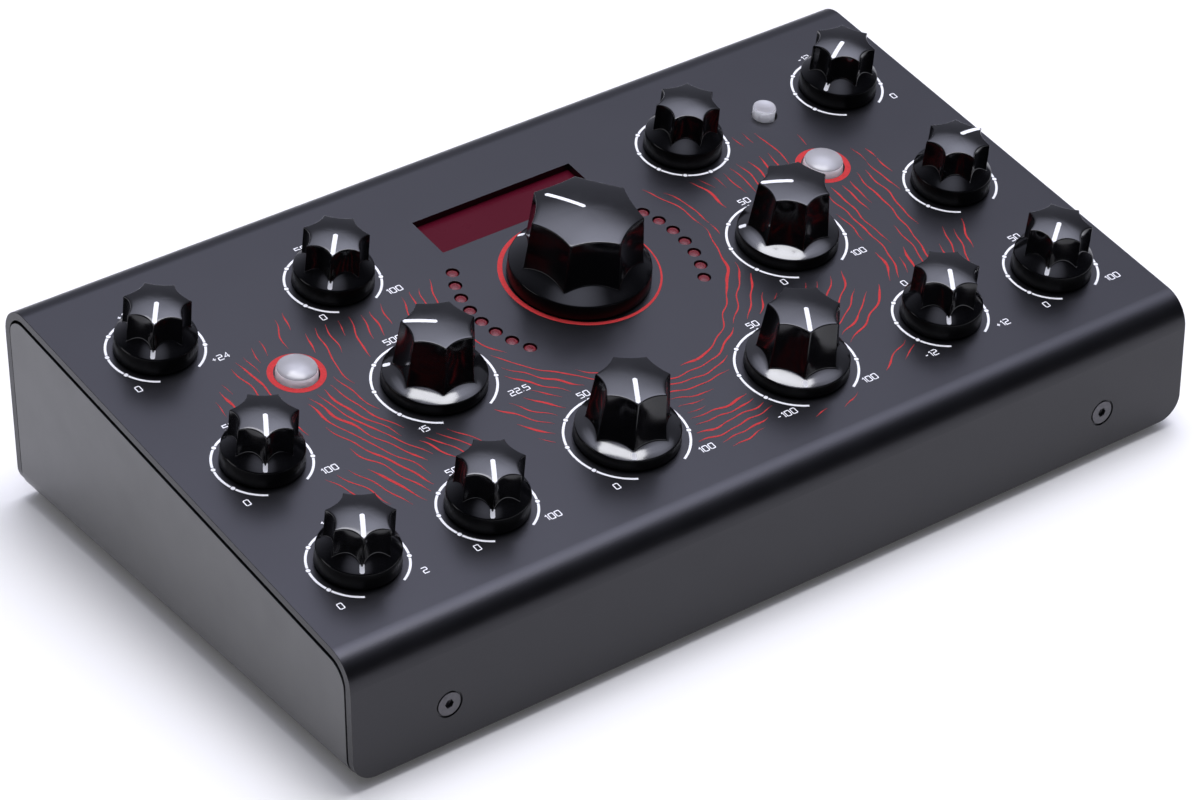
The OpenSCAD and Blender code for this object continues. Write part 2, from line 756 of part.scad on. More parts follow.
// Knob on its own axis, standing on the panel, with its pointer cusp towards +X
module knob(k) {
    rim_r = k[0] / 2 - rim_draft;
    base_h = k[1] + (rim_r - k[4] / 2) * tan(k[2]);
    inner_r = k[5] / 2 - 0.5;
    cone_h = (rim_r - inner_r) * tan(k[2]);
    top_h = k[6] + k[7];
    dome_r = (pow(k[3] / 2, 2) + pow(k[7], 2)) / (2 * k[7]);
    taper = (k[4] - k[3]) / 2 / (k[6] - base_h);
    difference() {
        union() {
            difference() {
                intersection() {
                    translate([0, 0, k[1]]) cylinder(r1 = k[3] / 2 + taper * (k[6] - k[1]),
                        r2 = k[3] / 2 - taper * (top_h - k[6]), h = top_h - k[1]);
                    translate([0, 0, top_h - dome_r]) sphere(r = dome_r);
                }
                flutes(k, base_h);
            }
            translate([0, 0, skirt_gap]) cylinder(r1 = k[0] / 2, r2 = rim_r, h = k[1] - skirt_gap);
            translate([0, 0, k[1]]) cylinder(r1 = rim_r, r2 = inner_r, h = cone_h);
        }
        cylinder(r = rim_r - skirt_wall, h = k[1] - skirt_wall);
        cylinder(d = nut_pocket_d, h = bush_top + skirt_gap);
        shaft_bore();
    }
}

module control_knob(c) {
    color("#0c0c0e") on_panel(c[1], c[2]) rotate([0, 0, c[4]]) knob(c[3]);
}

module control_shaft(c) {
    foot = -cover_sheet - shaft_in;
    color("#c3c6ca") on_panel(c[1], c[2]) rotate([0, 0, c[4]]) difference() {
        translate([0, 0, foot]) cylinder(d = shaft_d, h = shaft_top - foot);
        translate([shaft_d / 2 - shaft_flat, -shaft_d, bush_top]) cube([shaft_d, 2 * shaft_d, shaft_top]);
    }
}

// Housing under the panel with its threaded bush through it, bored for the shaft
module bushed_housing(w, l) {
    difference() {
        union() {
            translate([0, 0, board_top]) block(w, l, pot_deep);
            translate([0, 0, -cover_sheet - eps]) cylinder(d = bush_d, h = bush_top + cover_sheet + eps);
        }
        translate([0, 0, -cover_sheet - shaft_in - fit_gap])
            cylinder(d = shaft_d + 2 * run_clear, h = cover_sheet + shaft_in + bush_top + 1);
    }
}

module pot_housings() {
    color("#8f9499") for (c = POTS) on_panel(c[1], c[2]) bushed_housing(pot_w, pot_l);
}

module encoder_housing() {
    color("#7d8288") on_panel(DATA[1], DATA[2]) bushed_housing(encoder_w, encoder_l);
}

module bush_washers() {
    color("#c9ccd0") for (c = CONTROLS) on_panel(c[1], c[2]) difference() {
        cylinder(d = washer_d, h = washer_h);
        translate([0, 0, -1]) cylinder(d = bush_d + 2 * fit_gap, h = washer_h + 2);
    }
}

module bush_nuts() {
    color("#c9ccd0") for (c = CONTROLS) on_panel(c[1], c[2], washer_h) difference() {
        cylinder(d = bush_nut_af / cos(30), h = bush_nut_h, $fn = 6);
        translate([0, 0, -1]) cylinder(d = bush_d + 2 * thread_clear, h = bush_nut_h + 2);
    }
}

// Lip under the panel that keeps a button from falling out
module cap_base(d) {
    translate([0, 0, cap_foot]) cylinder(d = d + 2 * cap_lip, h = cap_lip_h);
}

module domed_cap() {
    cap_base(dome_d);
    translate([0, 0, lip_top - eps]) cylinder(d = dome_d, h = 2 * eps - lip_top);
    domed(dome_d - 2 * hair, 0, dome_wall + dome_rise, dome_rise, dome_draft);
}

module flat_cap() {
    dish_r = (pow(flat_d * 0.4, 2) + pow(flat_dish, 2)) / (2 * flat_dish);
    cap_base(flat_d);
    difference() {
        translate([0, 0, lip_top - eps]) cylinder(d = flat_d, h = flat_h - lip_top + eps);
        translate([0, 0, flat_h - flat_dish + dish_r]) sphere(r = dish_r);
    }
}

module button(b) {
    color("#d9d9de") on_panel(b[1], b[2]) {
        if (b[3] == dome_d) domed_cap();
        else flat_cap();
    }
}

module plunger(b) {
    foot = tact_top - plunger_in;
    color("#e8e4d8") on_panel(b[1], b[2], foot) cylinder(d = plunger_d, h = cap_foot - foot);
}

module button_switches() {
    color("#1d1d20") for (b = BUTTONS) on_panel(b[1], b[2], board_top) difference() {
        block(tact_w, tact_w, tact_h);
        translate([0, 0, tact_h - plunger_in - press - button_gap])
            cylinder(d = plunger_d + 2 * run_clear, h = tact_h);
    }
}

module display_filter() {
    color("#4a0f1a") on_panel(0, row_window, -cover_sheet - filter_t)
        block(window_w + 2 * filter_lap, window_l + 2 * filter_lap, filter_t);
}

module display_module() {
    color("#161618") on_panel(0, row_window, board_top) block(module_w, module_l, pot_deep - filter_t);
}

module indicator_lamps() {
    color("#6d1420") at_lamps() union() {
        domed(lamp_d, board_top, -lamp_sink, lamp_dome);
        translate([0, 0, board_top]) cylinder(d = lamp_d + 2 * lamp_foot, h = pot_deep / 2);
    }
}

module control_board() {
    w = case_w - 2 * (tray_sheet + board_side);
    color("#1c4a2c") on_panel(-w / 2, board_front, board_top - board_t)
        cube([w, panel_l - board_front - board_back, board_t]);
}

module main_board() {
    x0 = inlet_x - main_side;
    x1 = jack_x + main_side;
    color("#1c4a2c") translate([x0, main_y0, main_top - board_t]) cube([x1 - x0, main_d, board_t]);
}

module on_main(x, y, h = 0) {
    translate([x, y, main_top + h]) children();
}

module audio_jacks() {
    back = jack_y1 - (y_back + jack_proud - jack_bore_deep - jack_end);
    color("#1a1a1c") for (x = jack_xs) difference() {
        union() {
            on_main(x - jack_w / 2, jack_y1 - back) cube([jack_w, back, jack_h]);
            on_back(x, jack_z, jack_y1 - y_back - eps)
                cylinder(d = jack_nose_d, h = y_back + jack_proud - jack_y1 + eps);
        }
        on_back(x, jack_z, jack_proud - jack_bore_deep) cylinder(d = jack_bore_d, h = jack_bore_deep + 1);
    }
}

module jack_nuts() {
    color("#c9ccd0") for (x = jack_xs) on_back(x, jack_z) difference() {
        cylinder(d = jack_nut_af / cos(30), h = jack_nut_h, $fn = 6);
        translate([0, 0, -1]) cylinder(d = jack_nose_d + 2 * thread_clear, h = jack_nut_h + 2);
    }
}

module midi_socket() {
    color("#1a1a1c") difference() {
        union() {
            on_main(din_x - din_w / 2, jack_y1 - din_deep) cube([din_w, din_deep, din_axis + din_w / 2]);
            on_back(din_x, din_z, jack_y1 - y_back - eps)
                cylinder(d = din_ring_d, h = y_back - jack_y1 + eps);
        }
        on_back(din_x, din_z, -din_slot) difference() {
            cylinder(d = din_ring_d - 2 * din_wall, h = din_slot + 1);
            translate([0, 0, -1]) cylinder(d = din_core_d, h = din_slot + 3);
        }
        for (a = [0 : 45 : 180]) on_back(din_x, din_z, -din_slot) rotate([0, 0, a])
            translate([din_pin_ring / 2, 0, 0]) cylinder(d = din_pin_d, h = din_slot + 1);
    }
}

module power_inlet() {
    color("#1a1a1c") {
        difference() {
            union() {
                on_main(inlet_x - inlet_w / 2, jack_y1 - inlet_deep) cube([inlet_w, inlet_deep, inlet_h]);
                on_back(inlet_x, inlet_z, jack_y1 - y_back - eps)
                    cylinder(d = inlet_nose_d, h = y_back - jack_y1 + eps);
            }
            on_back(inlet_x, inlet_z, -inlet_bore_deep) cylinder(d = inlet_bore_d, h = inlet_bore_deep + 1);
        }
        on_back(inlet_x, inlet_z, -inlet_bore_deep - eps) cylinder(d = inlet_pin_d, h = inlet_bore_deep);
    }
}

// Places children at the rocker's pivot, with X along the pivot and Z pointing out of the back
module at_rocker() {
    translate([switch_x, rocker_y, switch_z]) rotate([-90, 0, 0]) children();
}

module power_switch() {
    cavity_h = 2 * (rocker_r + rocker_gap);
    cavity_deep = rocker_pivot + rocker_keel + 2 * rocker_gap + 1;
    color("#141416") difference() {
        translate([switch_x - switch_w / 2, y_back - switch_deep, main_top])
            cube([switch_w, switch_deep + switch_proud, switch_h]);
        on_back(switch_x, switch_z, switch_proud - cavity_deep)
            block(switch_w - 2 * switch_wall, cavity_h, cavity_deep + 1);
        at_rocker() rotate([0, 90, 0]) translate([0, 0, -switch_w / 2 - 1])
            cylinder(d = trunnion_d + 2 * run_clear, h = switch_w + 2);
    }
}

// Rocker with round ends about its pivot and a face that dips in the middle, resting switched off
module power_rocker() {
    lift = 1.2;
    color("#202024") at_rocker() rotate([-rocker_swing / 2, 0, 0]) {
        intersection() {
            rotate([0, 90, 0]) translate([0, 0, -rocker_w / 2]) cylinder(r = rocker_r, h = rocker_w);
            rotate([90, 0, 90]) translate([0, 0, -rocker_w / 2]) linear_extrude(rocker_w) polygon([
                [-rocker_r, -rocker_keel], [rocker_r, -rocker_keel], [rocker_r, rocker_crest + lift],
                [0, rocker_crest], [-rocker_r, rocker_crest + lift]
            ]);
        }
        rotate([0, 90, 0]) translate([0, 0, -switch_w / 2]) cylinder(d = trunnion_d, h = switch_w);
    }
}

module ribbon_cable() {
    half = ribbon_t / 2;
    lap = 0.15;
    y0 = ribbon_y - lap;
    color("#8a8d92") union() {
        cross_bend(ribbon_y, lower_z + ribbon_r, -90, 180, ribbon_r - half, ribbon_r + half,
            -ribbon_w / 2, ribbon_w / 2);
        translate([-ribbon_w / 2, y0, lower_z - half + hair])
            cube([ribbon_w, plug_y - plug_d / 2 - y0, ribbon_t - 2 * hair]);
        translate([-ribbon_w / 2, y0, upper_z - half + hair])
            cube([ribbon_w, upper_y - half * tan(panel_slope) - thread_clear - y0, ribbon_t - 2 * hair]);
    }
}

module ribbon_plugs() {
    color("#2b2b2e") {
        on_main(0, plug_y) block(ribbon_w + 2, plug_d, plug_h);
        on_panel(0, plug_up, board_top - board_t - plug_h) block(ribbon_w + 2, plug_d, plug_h);
    }
}

top_cover();
bottom_tray();
cover_screws();
clinch_nuts();
rubber_feet();
control_board();
main_board();
ribbon_cable();
ribbon_plugs();
display_filter();
display_module();
indicator_lamps();
pot_housings();
encoder_housing();
bush_nuts();
bush_washers();
button_switches();
audio_jacks();
jack_nuts();
midi_socket();
power_inlet();
power_switch();
power_rocker();
for (c = CONTROLS) {
    control_knob(c);
    control_shaft(c);
}
for (b = BUTTONS) {
    button(b);
    plunger(b);
}
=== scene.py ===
# %% [markdown]
# # A desktop delay unit, dressed for its portrait
# The CAD model gives every piece of this unit at its true size and place. This lesson gives the pieces the looks
# that the CAD can't hold: powder coat with its fine grain, glossy fluted knobs with rounded edges, milky buttons,
# red lenses, and the printed dials. Everything is in metres and in the CAD's own frame, so nothing has to be fitted
# afterwards. Each step first says what the piece is on the real unit, and then why it is made the way it is.

# %% Load the CAD frame
import json
import math

import bmesh
import bpy
import numpy as np
from mathutils import Matrix, Quaternion, Vector


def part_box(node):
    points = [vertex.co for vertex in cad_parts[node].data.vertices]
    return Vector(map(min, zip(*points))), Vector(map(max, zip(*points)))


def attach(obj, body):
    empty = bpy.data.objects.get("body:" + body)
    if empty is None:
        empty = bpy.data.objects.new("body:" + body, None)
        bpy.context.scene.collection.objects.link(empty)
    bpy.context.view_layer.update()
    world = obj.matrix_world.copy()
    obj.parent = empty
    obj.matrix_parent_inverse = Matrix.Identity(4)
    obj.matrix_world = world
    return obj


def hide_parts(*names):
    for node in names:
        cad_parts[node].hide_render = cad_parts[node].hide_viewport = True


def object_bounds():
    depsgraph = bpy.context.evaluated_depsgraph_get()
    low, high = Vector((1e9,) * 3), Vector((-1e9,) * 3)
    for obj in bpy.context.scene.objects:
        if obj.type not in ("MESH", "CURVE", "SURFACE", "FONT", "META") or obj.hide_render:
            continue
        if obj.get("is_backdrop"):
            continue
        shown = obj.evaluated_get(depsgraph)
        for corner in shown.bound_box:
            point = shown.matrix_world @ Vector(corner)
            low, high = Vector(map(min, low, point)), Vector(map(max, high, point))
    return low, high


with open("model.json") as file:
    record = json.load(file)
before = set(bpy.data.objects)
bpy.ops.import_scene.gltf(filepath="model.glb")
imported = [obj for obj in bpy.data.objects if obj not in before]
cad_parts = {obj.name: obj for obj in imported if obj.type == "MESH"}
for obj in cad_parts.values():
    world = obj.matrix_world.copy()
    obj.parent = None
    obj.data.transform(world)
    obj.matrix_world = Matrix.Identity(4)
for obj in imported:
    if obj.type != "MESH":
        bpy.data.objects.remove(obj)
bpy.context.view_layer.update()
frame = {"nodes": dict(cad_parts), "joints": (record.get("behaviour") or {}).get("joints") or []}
nodes = frame["nodes"]

# %% [markdown]
# ## The panel's own frame
# Nearly everything that shows sits on the sloping panel. A matrix that stands at the panel's front edge and leans
# back with it lets us think in "across, up the panel, above its face", in millimetres, as the maker's drawing does.

# %% Panel frame and small helpers
MM = 0.001
SLOPE = math.radians(8.7)
FRONT_Y, CORNER_Z = -73.0, 34.9
PANEL = Matrix.Translation((0, FRONT_Y * MM, CORNER_Z * MM)) @ Matrix.Rotation(SLOPE, 4, "X")


def on_panel(across, up, above=0.0, turn=0.0):
    """Matrix of a spot on the panel, turned anticlockwise by some degrees as seen from above."""
    return PANEL @ Matrix.Translation(Vector((across, up, above)) * MM) @ Matrix.Rotation(math.radians(turn), 4, "Z")


def mesh_of(name, points, faces, crease=40.0):
    """Mesh from points in millimetres, smooth except across edges sharper than the crease angle."""
    mesh = bpy.data.meshes.new(name)
    mesh.from_pydata([Vector(p) * MM for p in points], [], faces)
    mesh.update()
    mesh.shade_smooth()
    mesh.set_sharp_from_angle(angle=math.radians(crease))
    return mesh


def add_piece(name, mesh, finish, body, place=None, stands_for=()):
    """Puts a mesh into the scene, gives it its finish and lets it ride on a CAD body."""
    if place:
        mesh = mesh.copy()
        mesh.transform(place)
    piece = bpy.data.objects.new(name, mesh)
    bpy.context.scene.collection.objects.link(piece)
    if not mesh.materials:
        mesh.materials.append(finish)
    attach(piece, body)
    if stands_for:
        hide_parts(*stands_for)
    return piece


print("panel leans by", round(math.degrees(SLOPE), 2), "degrees")

# %% [markdown]
# ## How a finish is written
# Each finish starts from one Principled shader. What is the same all over is set on the shader's own sockets. What
# changes over the surface comes from noise in the object's own coordinates, so that the grain keeps its real size
# in millimetres on a large cover and on a small screw alike.

# %% Finish helpers
def new_finish(name, colour, roughness, **sockets):
    """Material with one Principled shader; further sockets are named with underscores for spaces."""
    finish = bpy.data.materials.new(name)
    finish.use_nodes = True
    shader = finish.node_tree.nodes["Principled BSDF"]
    shader.inputs["Base Color"].default_value = (*colour, 1)
    shader.inputs["Roughness"].default_value = roughness
    for socket, value in sockets.items():
        shader.inputs[socket.replace("_", " ")].default_value = value
    finish.diffuse_color = (*colour, 1)
    return finish


def noise_of(finish, size_mm, detail=2.0, stretch=(1, 1, 1)):
    """Noise whose lumps are about size_mm across; returns its factor socket."""
    tree = finish.node_tree
    where = tree.nodes.new("ShaderNodeTexCoord")
    scaled = tree.nodes.new("ShaderNodeMapping")
    scaled.inputs["Scale"].default_value = stretch
    noise = tree.nodes.new("ShaderNodeTexNoise")
    noise.inputs["Scale"].default_value = 1 / (size_mm * MM)
    noise.inputs["Detail"].default_value = detail
    tree.links.new(where.outputs["Object"], scaled.inputs["Vector"])
    tree.links.new(scaled.outputs["Vector"], noise.inputs["Vector"])
    return noise.outputs["Fac"]


def add_grain(finish, size_mm, height_mm, strength, detail=2.0, stretch=(1, 1, 1)):
    """Bump of a given grain size and height."""
    tree = finish.node_tree
    bump = tree.nodes.new("ShaderNodeBump")
    bump.inputs["Strength"].default_value = strength
    bump.inputs["Distance"].default_value = height_mm * MM
    tree.links.new(noise_of(finish, size_mm, detail, stretch), bump.inputs["Height"])
    tree.links.new(bump.outputs["Normal"], tree.nodes["Principled BSDF"].inputs["Normal"])


def vary_roughness(finish, size_mm, low, high, detail=3.0):
    """Roughness that wanders between two values, as handling and moulding leave it."""
    tree = finish.node_tree
    spread = tree.nodes.new("ShaderNodeMapRange")
    spread.inputs["From Min"].default_value = 0.3
    spread.inputs["From Max"].default_value = 0.7
    spread.inputs["To Min"].default_value = low
    spread.inputs["To Max"].default_value = high
    tree.links.new(noise_of(finish, size_mm, detail), spread.inputs["Value"])
    tree.links.new(spread.outputs["Result"], tree.nodes["Principled BSDF"].inputs["Roughness"])


def vary_colour(finish, size_mm, dark, light, detail=3.0):
    """Colour that wanders between two tones."""
    tree = finish.node_tree
    ramp = tree.nodes.new("ShaderNodeValToRGB")
    ramp.color_ramp.elements[0].position, ramp.color_ramp.elements[0].color = 0.3, (*dark, 1)
    ramp.color_ramp.elements[1].position, ramp.color_ramp.elements[1].color = 0.7, (*light, 1)
    tree.links.new(noise_of(finish, size_mm, detail), ramp.inputs["Fac"])
    tree.links.new(ramp.outputs["Color"], tree.nodes["Principled BSDF"].inputs["Base Color"])


print("finish helpers ready")

# %% [markdown]
# ## The finishes of this unit
# The case is steel sheet under a fine satin black powder coat with a short grain of about half a millimetre, and its
# edges are a shade lighter, partly from the thinner coat there and partly as painted highlight. The knobs are polished
# black mouldings with a satin rim, and on the medium ones the upward-facing shoulder is lighter and glossier as a
# painted highlight. The inks are flat and slightly rough. The metal that shows at the back is nickel-plated.

# %% Case, metal and rubber
# the specular tint is painted light: it cools and dims what the coat reflects
case_coat = new_finish("satin_powder_coat", (0.0025, 0.0025, 0.003), 0.33, Specular_Tint=(0.84, 0.83, 0.9, 1))
vary_colour(case_coat, 14, (0.002, 0.002, 0.0025), (0.003, 0.003, 0.0035))
vary_roughness(case_coat, 9, 0.31, 0.35)
add_grain(case_coat, 0.55, 0.03, 0.45, detail=3)

# the tray's lighter colour and higher IOR are painted light: they stand in for the bright light on the left cheek
tray_coat_painted_light = new_finish("satin_coat_painted_lighter", (0.014, 0.014, 0.016), 0.34, IOR=1.84)
vary_colour(tray_coat_painted_light, 14, (0.012, 0.012, 0.014), (0.017, 0.017, 0.019))
vary_roughness(tray_coat_painted_light, 9, 0.32, 0.37)
add_grain(tray_coat_painted_light, 0.4, 0.03, 0.18, detail=3)

# edge colour: partly the thinner coat on a pressed edge, partly painted highlight
edge_coat_and_highlight = new_finish("thin_coat_and_painted_highlight_on_edges", (0.005, 0.005, 0.006), 0.26)
vary_colour(edge_coat_and_highlight, 3, (0.004, 0.004, 0.005), (0.008, 0.008, 0.009))
vary_roughness(edge_coat_and_highlight, 2, 0.22, 0.3)

black_oxide = new_finish("black_oxide_steel", (0.1, 0.098, 0.105), 0.36, Metallic=1.0)
vary_colour(black_oxide, 1.2, (0.085, 0.083, 0.09), (0.115, 0.112, 0.12))
vary_roughness(black_oxide, 0.8, 0.32, 0.42)
add_grain(black_oxide, 0.3, 0.01, 0.3)

plated_steel = new_finish("nickel_plated_steel", (0.62, 0.61, 0.58), 0.25, Metallic=1.0)
vary_roughness(plated_steel, 2.5, 0.18, 0.36)
add_grain(plated_steel, 0.25, 0.006, 0.3)

turned_metal = new_finish("turned_aluminium", (0.72, 0.72, 0.74), 0.3, Metallic=1.0)
vary_roughness(turned_metal, 1.5, 0.22, 0.4)

foot_rubber = new_finish("foot_rubber", (0.014, 0.014, 0.014), 0.8)
vary_roughness(foot_rubber, 1.5, 0.7, 0.9)
add_grain(foot_rubber, 0.5, 0.04, 0.5)
print("metal and rubber finishes:", len(bpy.data.materials))

# %% [markdown]
# Plastics differ from metal in what happens under the skin. The milky caps scatter light inside, so they use the
# shader's subsurface part. Dome and wall are one milky plastic: the wall's whiter colour is painted light, and the
# dome's greyer colour is painted shade. The display filter and the lamp lenses are dark red all through and have
# little gloss, since light that enters them hardly comes back.

# %% Mouldings, lenses and inks
knob_gloss = new_finish("polished_black_moulding", (0.0025, 0.0025, 0.003), 0.13)
vary_roughness(knob_gloss, 4, 0.1, 0.17)
add_grain(knob_gloss, 1.8, 0.004, 0.25)

# the shoulder's lighter colour and stronger gloss are a painted highlight on the same black moulding
shoulder_highlight = new_finish("shoulder_painted_highlight", (0.004, 0.004, 0.0045), 0.12, Specular_IOR_Level=1.0)
vary_roughness(shoulder_highlight, 5, 0.1, 0.14)

skirt_satin = new_finish("satin_black_moulding", (0.0015, 0.0015, 0.0018), 0.42, Specular_IOR_Level=0.2)
vary_roughness(skirt_satin, 3, 0.36, 0.46)
add_grain(skirt_satin, 0.25, 0.01, 0.3)

moulded_black = new_finish("moulded_black_plastic", (0.012, 0.012, 0.013), 0.5)
vary_roughness(moulded_black, 2, 0.42, 0.6)
add_grain(moulded_black, 0.3, 0.02, 0.3)

rocker_black = new_finish("rocker_plastic", (0.01, 0.01, 0.011), 0.28)
vary_roughness(rocker_black, 3, 0.22, 0.36)

MILK = dict(Subsurface_Weight=1.0, Subsurface_Scale=0.006, Subsurface_Radius=(1, 1, 1))
# the dome's greyer colour is painted shade that holds back the strong light on the cap's top
milk_cap_painted_shade = new_finish("milky_cap", (0.36, 0.352, 0.357), 0.22, Specular_IOR_Level=0.7, **MILK)
vary_colour(milk_cap_painted_shade, 6, (0.35, 0.342, 0.347), (0.37, 0.362, 0.367))
vary_roughness(milk_cap_painted_shade, 4, 0.2, 0.24)
# the wall's whiter colour is painted light, standing in for light that passes through the cap to its wall
milk_wall_painted_light = new_finish("milky_wall_painted_light", (0.94, 0.93, 0.95), 0.4, **MILK)
vary_colour(milk_wall_painted_light, 6, (0.93, 0.92, 0.94), (0.95, 0.94, 0.96))
vary_roughness(milk_wall_painted_light, 2, 0.36, 0.44)

cream_plastic = new_finish("cream_plunger", (0.7, 0.67, 0.56), 0.45)
vary_roughness(cream_plastic, 1, 0.4, 0.55)

red_filter = new_finish("dark_red_filter", (0.068, 0.0035, 0.011), 0.3, Specular_IOR_Level=0.04)
vary_colour(red_filter, 30, (0.064, 0.0032, 0.01), (0.072, 0.0038, 0.012))
vary_roughness(red_filter, 8, 0.26, 0.34)

red_lens = new_finish("dark_red_lens", (0.12, 0.009, 0.014), 0.26, Specular_IOR_Level=0.25)
vary_colour(red_lens, 0.7, (0.09, 0.006, 0.01), (0.15, 0.012, 0.018))
vary_roughness(red_lens, 0.5, 0.22, 0.32)

display_black = new_finish("display_block", (0.01, 0.01, 0.012), 0.3)
vary_roughness(display_black, 3, 0.24, 0.4)

solder_mask = new_finish("green_solder_mask", (0.012, 0.09, 0.03), 0.4)
vary_colour(solder_mask, 6, (0.01, 0.075, 0.025), (0.015, 0.11, 0.036))
add_grain(solder_mask, 0.8, 0.02, 0.2)

cable_grey = new_finish("grey_flat_cable", (0.25, 0.26, 0.28), 0.55)
add_grain(cable_grey, 1.27, 0.15, 0.6, detail=0, stretch=(1, 0.01, 0.01))

white_ink = new_finish("white_ink", (0.86, 0.86, 0.86), 0.55, Specular_IOR_Level=0.2)
vary_colour(white_ink, 0.6, (0.8, 0.8, 0.8), (0.9, 0.9, 0.9))
red_ink = new_finish("red_ink", (0.47, 0.033, 0.034), 0.6, Specular_IOR_Level=0.1)
vary_colour(red_ink, 0.6, (0.42, 0.029, 0.03), (0.52, 0.038, 0.039))
print("all finishes:", len(bpy.data.materials))

# %% [markdown]
# ## The pieces that keep their CAD shape
# Boards, potentiometers, shafts and the inside of the sockets are right as they are. They only swap the CAD's flat
# colour for one of the finishes.

# %% Dress the CAD nodes
DRESS = {
    "control_board": solder_mask, "main_board": solder_mask, "ribbon_cable": cable_grey, "ribbon_plugs": moulded_black,
    "display_filter": red_filter, "display_module": display_black, "indicator_lamps": red_lens,
    "pot_housings": plated_steel, "encoder_housing": plated_steel, "bush_nuts": plated_steel,
    "bush_washers": plated_steel, "clinch_nuts": plated_steel, "jack_nuts": plated_steel,
    "button_switches": moulded_black, "audio_jacks": moulded_black, "midi_socket": moulded_black,
    "power_inlet": moulded_black, "power_switch": moulded_black, "power_rocker": rocker_black,
    "cover_screws": black_oxide, "rubber_feet": foot_rubber, "top_cover": case_coat, "bottom_tray": tray_coat_painted_light,
}
for name, piece in nodes.items():
    if name.endswith("_shaft"):
        finish = turned_metal
    elif name.endswith("_plunger"):
        finish = cream_plastic
    elif name.endswith("_knob"):
        finish = knob_gloss
    elif name.endswith("_button"):
        finish = milk_cap_painted_shade
    else:
        finish = DRESS[name]
    piece.data.materials.clear()
    piece.data.materials.append(finish)
print("dressed", len(nodes), "nodes")

# %% [markdown]
# ## The folded cover and its tray
# On the real unit these are two bent steel sheets, and a press leaves every cut edge slightly rounded before the
# powder coat rounds it further. A razor-sharp CAD edge catches no light, so each sheet is copied, its flat faces are
# joined up again from their triangles, and a small bevel is run along every sharp edge. The copy stands in for the
# node. The screws, sockets and nuts get the same treatment with a smaller bevel.

# %% Eased copies of rigid nodes
WELD, ON_SIDE = 2e-6, 1e-5
FLAT_ANGLE, SHARP_ANGLE, CREASE_ANGLE = (math.radians(angle) for angle in (0.6, 32, 30))
CASE_MIDDLE = Vector((0, 0, 0.03))


def eased_copy(node, slot, edge_mm, edge_finish, side_mm=None):
    """Copy of a CAD node with rounded edges; the outer edges of a folded sheet's sides can be rounded more."""
    mesh = nodes[node].data.copy()
    mesh.materials.append(edge_finish)
    work = bmesh.new()
    work.from_mesh(mesh)
    bmesh.ops.remove_doubles(work, verts=work.verts, dist=WELD)
    bmesh.ops.dissolve_limit(work, angle_limit=FLAT_ANGLE, verts=work.verts, edges=work.edges)
    side_mm = side_mm or edge_mm
    side_x = max(abs(v.co.x) for v in work.verts)
    weight = work.edges.layers.float.new("bevel_weight_edge")
    for edge in work.edges:
        if edge.calc_face_angle(0) > SHARP_ANGLE:
            skin = min(edge.link_faces, key=lambda face: abs(face.normal.x))
            outside = skin.normal.dot(skin.calc_center_median() - CASE_MIDDLE) > 0
            on_side = all(abs(v.co.x) > side_x - ON_SIDE for v in edge.verts)
            edge[weight] = 1.0 if on_side and outside else edge_mm / side_mm
    work.to_mesh(mesh)
    work.free()
    mesh.shade_smooth()
    mesh.set_sharp_from_angle(angle=CREASE_ANGLE)
    piece = add_piece(node + "_eased", mesh, None, "case", stands_for=[node])
    bevel = piece.modifiers.new("eased_edges", "BEVEL")
    bevel.width, bevel.segments, bevel.limit_method = side_mm * MM, 3, "WEIGHT"
    bevel.material = 1
    even = piece.modifiers.new("even_shading", "WEIGHTED_NORMAL")
    even.weight, even.keep_sharp = 100, True


EASED = {
    "top_cover": ("cover_paint", 0.22, edge_coat_and_highlight, 0.5), "bottom_tray": ("tray_paint", 0.25, edge_coat_and_highlight, 0.5),
    "cover_screws": ("black_steel", 0.12, black_oxide), "jack_nuts": ("bright_steel", 0.2, plated_steel),
    "audio_jacks": ("socket_black", 0.2, moulded_black), "midi_socket": ("socket_black", 0.15, moulded_black),
    "power_inlet": ("socket_black", 0.15, moulded_black), "power_switch": ("switch_black", 0.2, moulded_black),
}
for node, settings in EASED.items():
    eased_copy(node, *settings)
print("eased:", list(EASED))

# %% [markdown]
# ## Fluted knobs
# Each knob is one moulding: a skirt with a sloping shoulder, a tapered grip cut by seven hollow flutes, and a shallow
# dome on top. A knob could be made with booleans, as in the CAD, but then its edges stay sharp. Here its outline is
# written as a path from the middle of the dome down to the bore, one path for each direction around the axis, and the
# paths are joined into a skin. The flutes are a formula, so the same few lines give all three sizes, and each corner
# of the path is a small curve. Lengths are in millimetres.

# %% Knob sizes
FLUTES = 7
HALF = math.pi / FLUTES
BLUNT, CUSP_SOFT = 0.12, 0.06
LIP_CURVE, FOOT_CURVE, RIM_CURVE, SOLE_CURVE = 0.3, 0.25, 0.3, 0.2
KNOB_SIZES = {
    "small": dict(skirt_d=19.6, rim_h=4.6, slope=40, top_d=16.0, base_d=16.2, valley_d=12.3, cusp_h=13.6, dome=1.2),
    "medium": dict(skirt_d=25.0, rim_h=3.3, slope=22, top_d=17.5, base_d=20.0, valley_d=14.5, cusp_h=17.0, dome=0.8),
    "large": dict(skirt_d=34.6, rim_h=4.2, slope=34, top_d=27.5, base_d=29.6, valley_d=23.5, cusp_h=18.9, dome=1.6),
}
SKIRT_GAP, SKIRT_WALL, RIM_DRAFT = 0.5, 1.4, 0.15
POCKET_R, POCKET_TOP = 6.37, 3.6
BORE_R, BORE_FLAT, BORE_TOP = 3.04, 1.54, 11.7


def bend(a, corner, b, steps):
    """Points of a small curve that leaves a for the corner and turns to b."""
    a, corner, b = Vector(a), Vector(corner), Vector(b)
    return [tuple(a.lerp(corner, t).lerp(corner.lerp(b, t), t)) for t in (i / steps for i in range(steps + 1))]


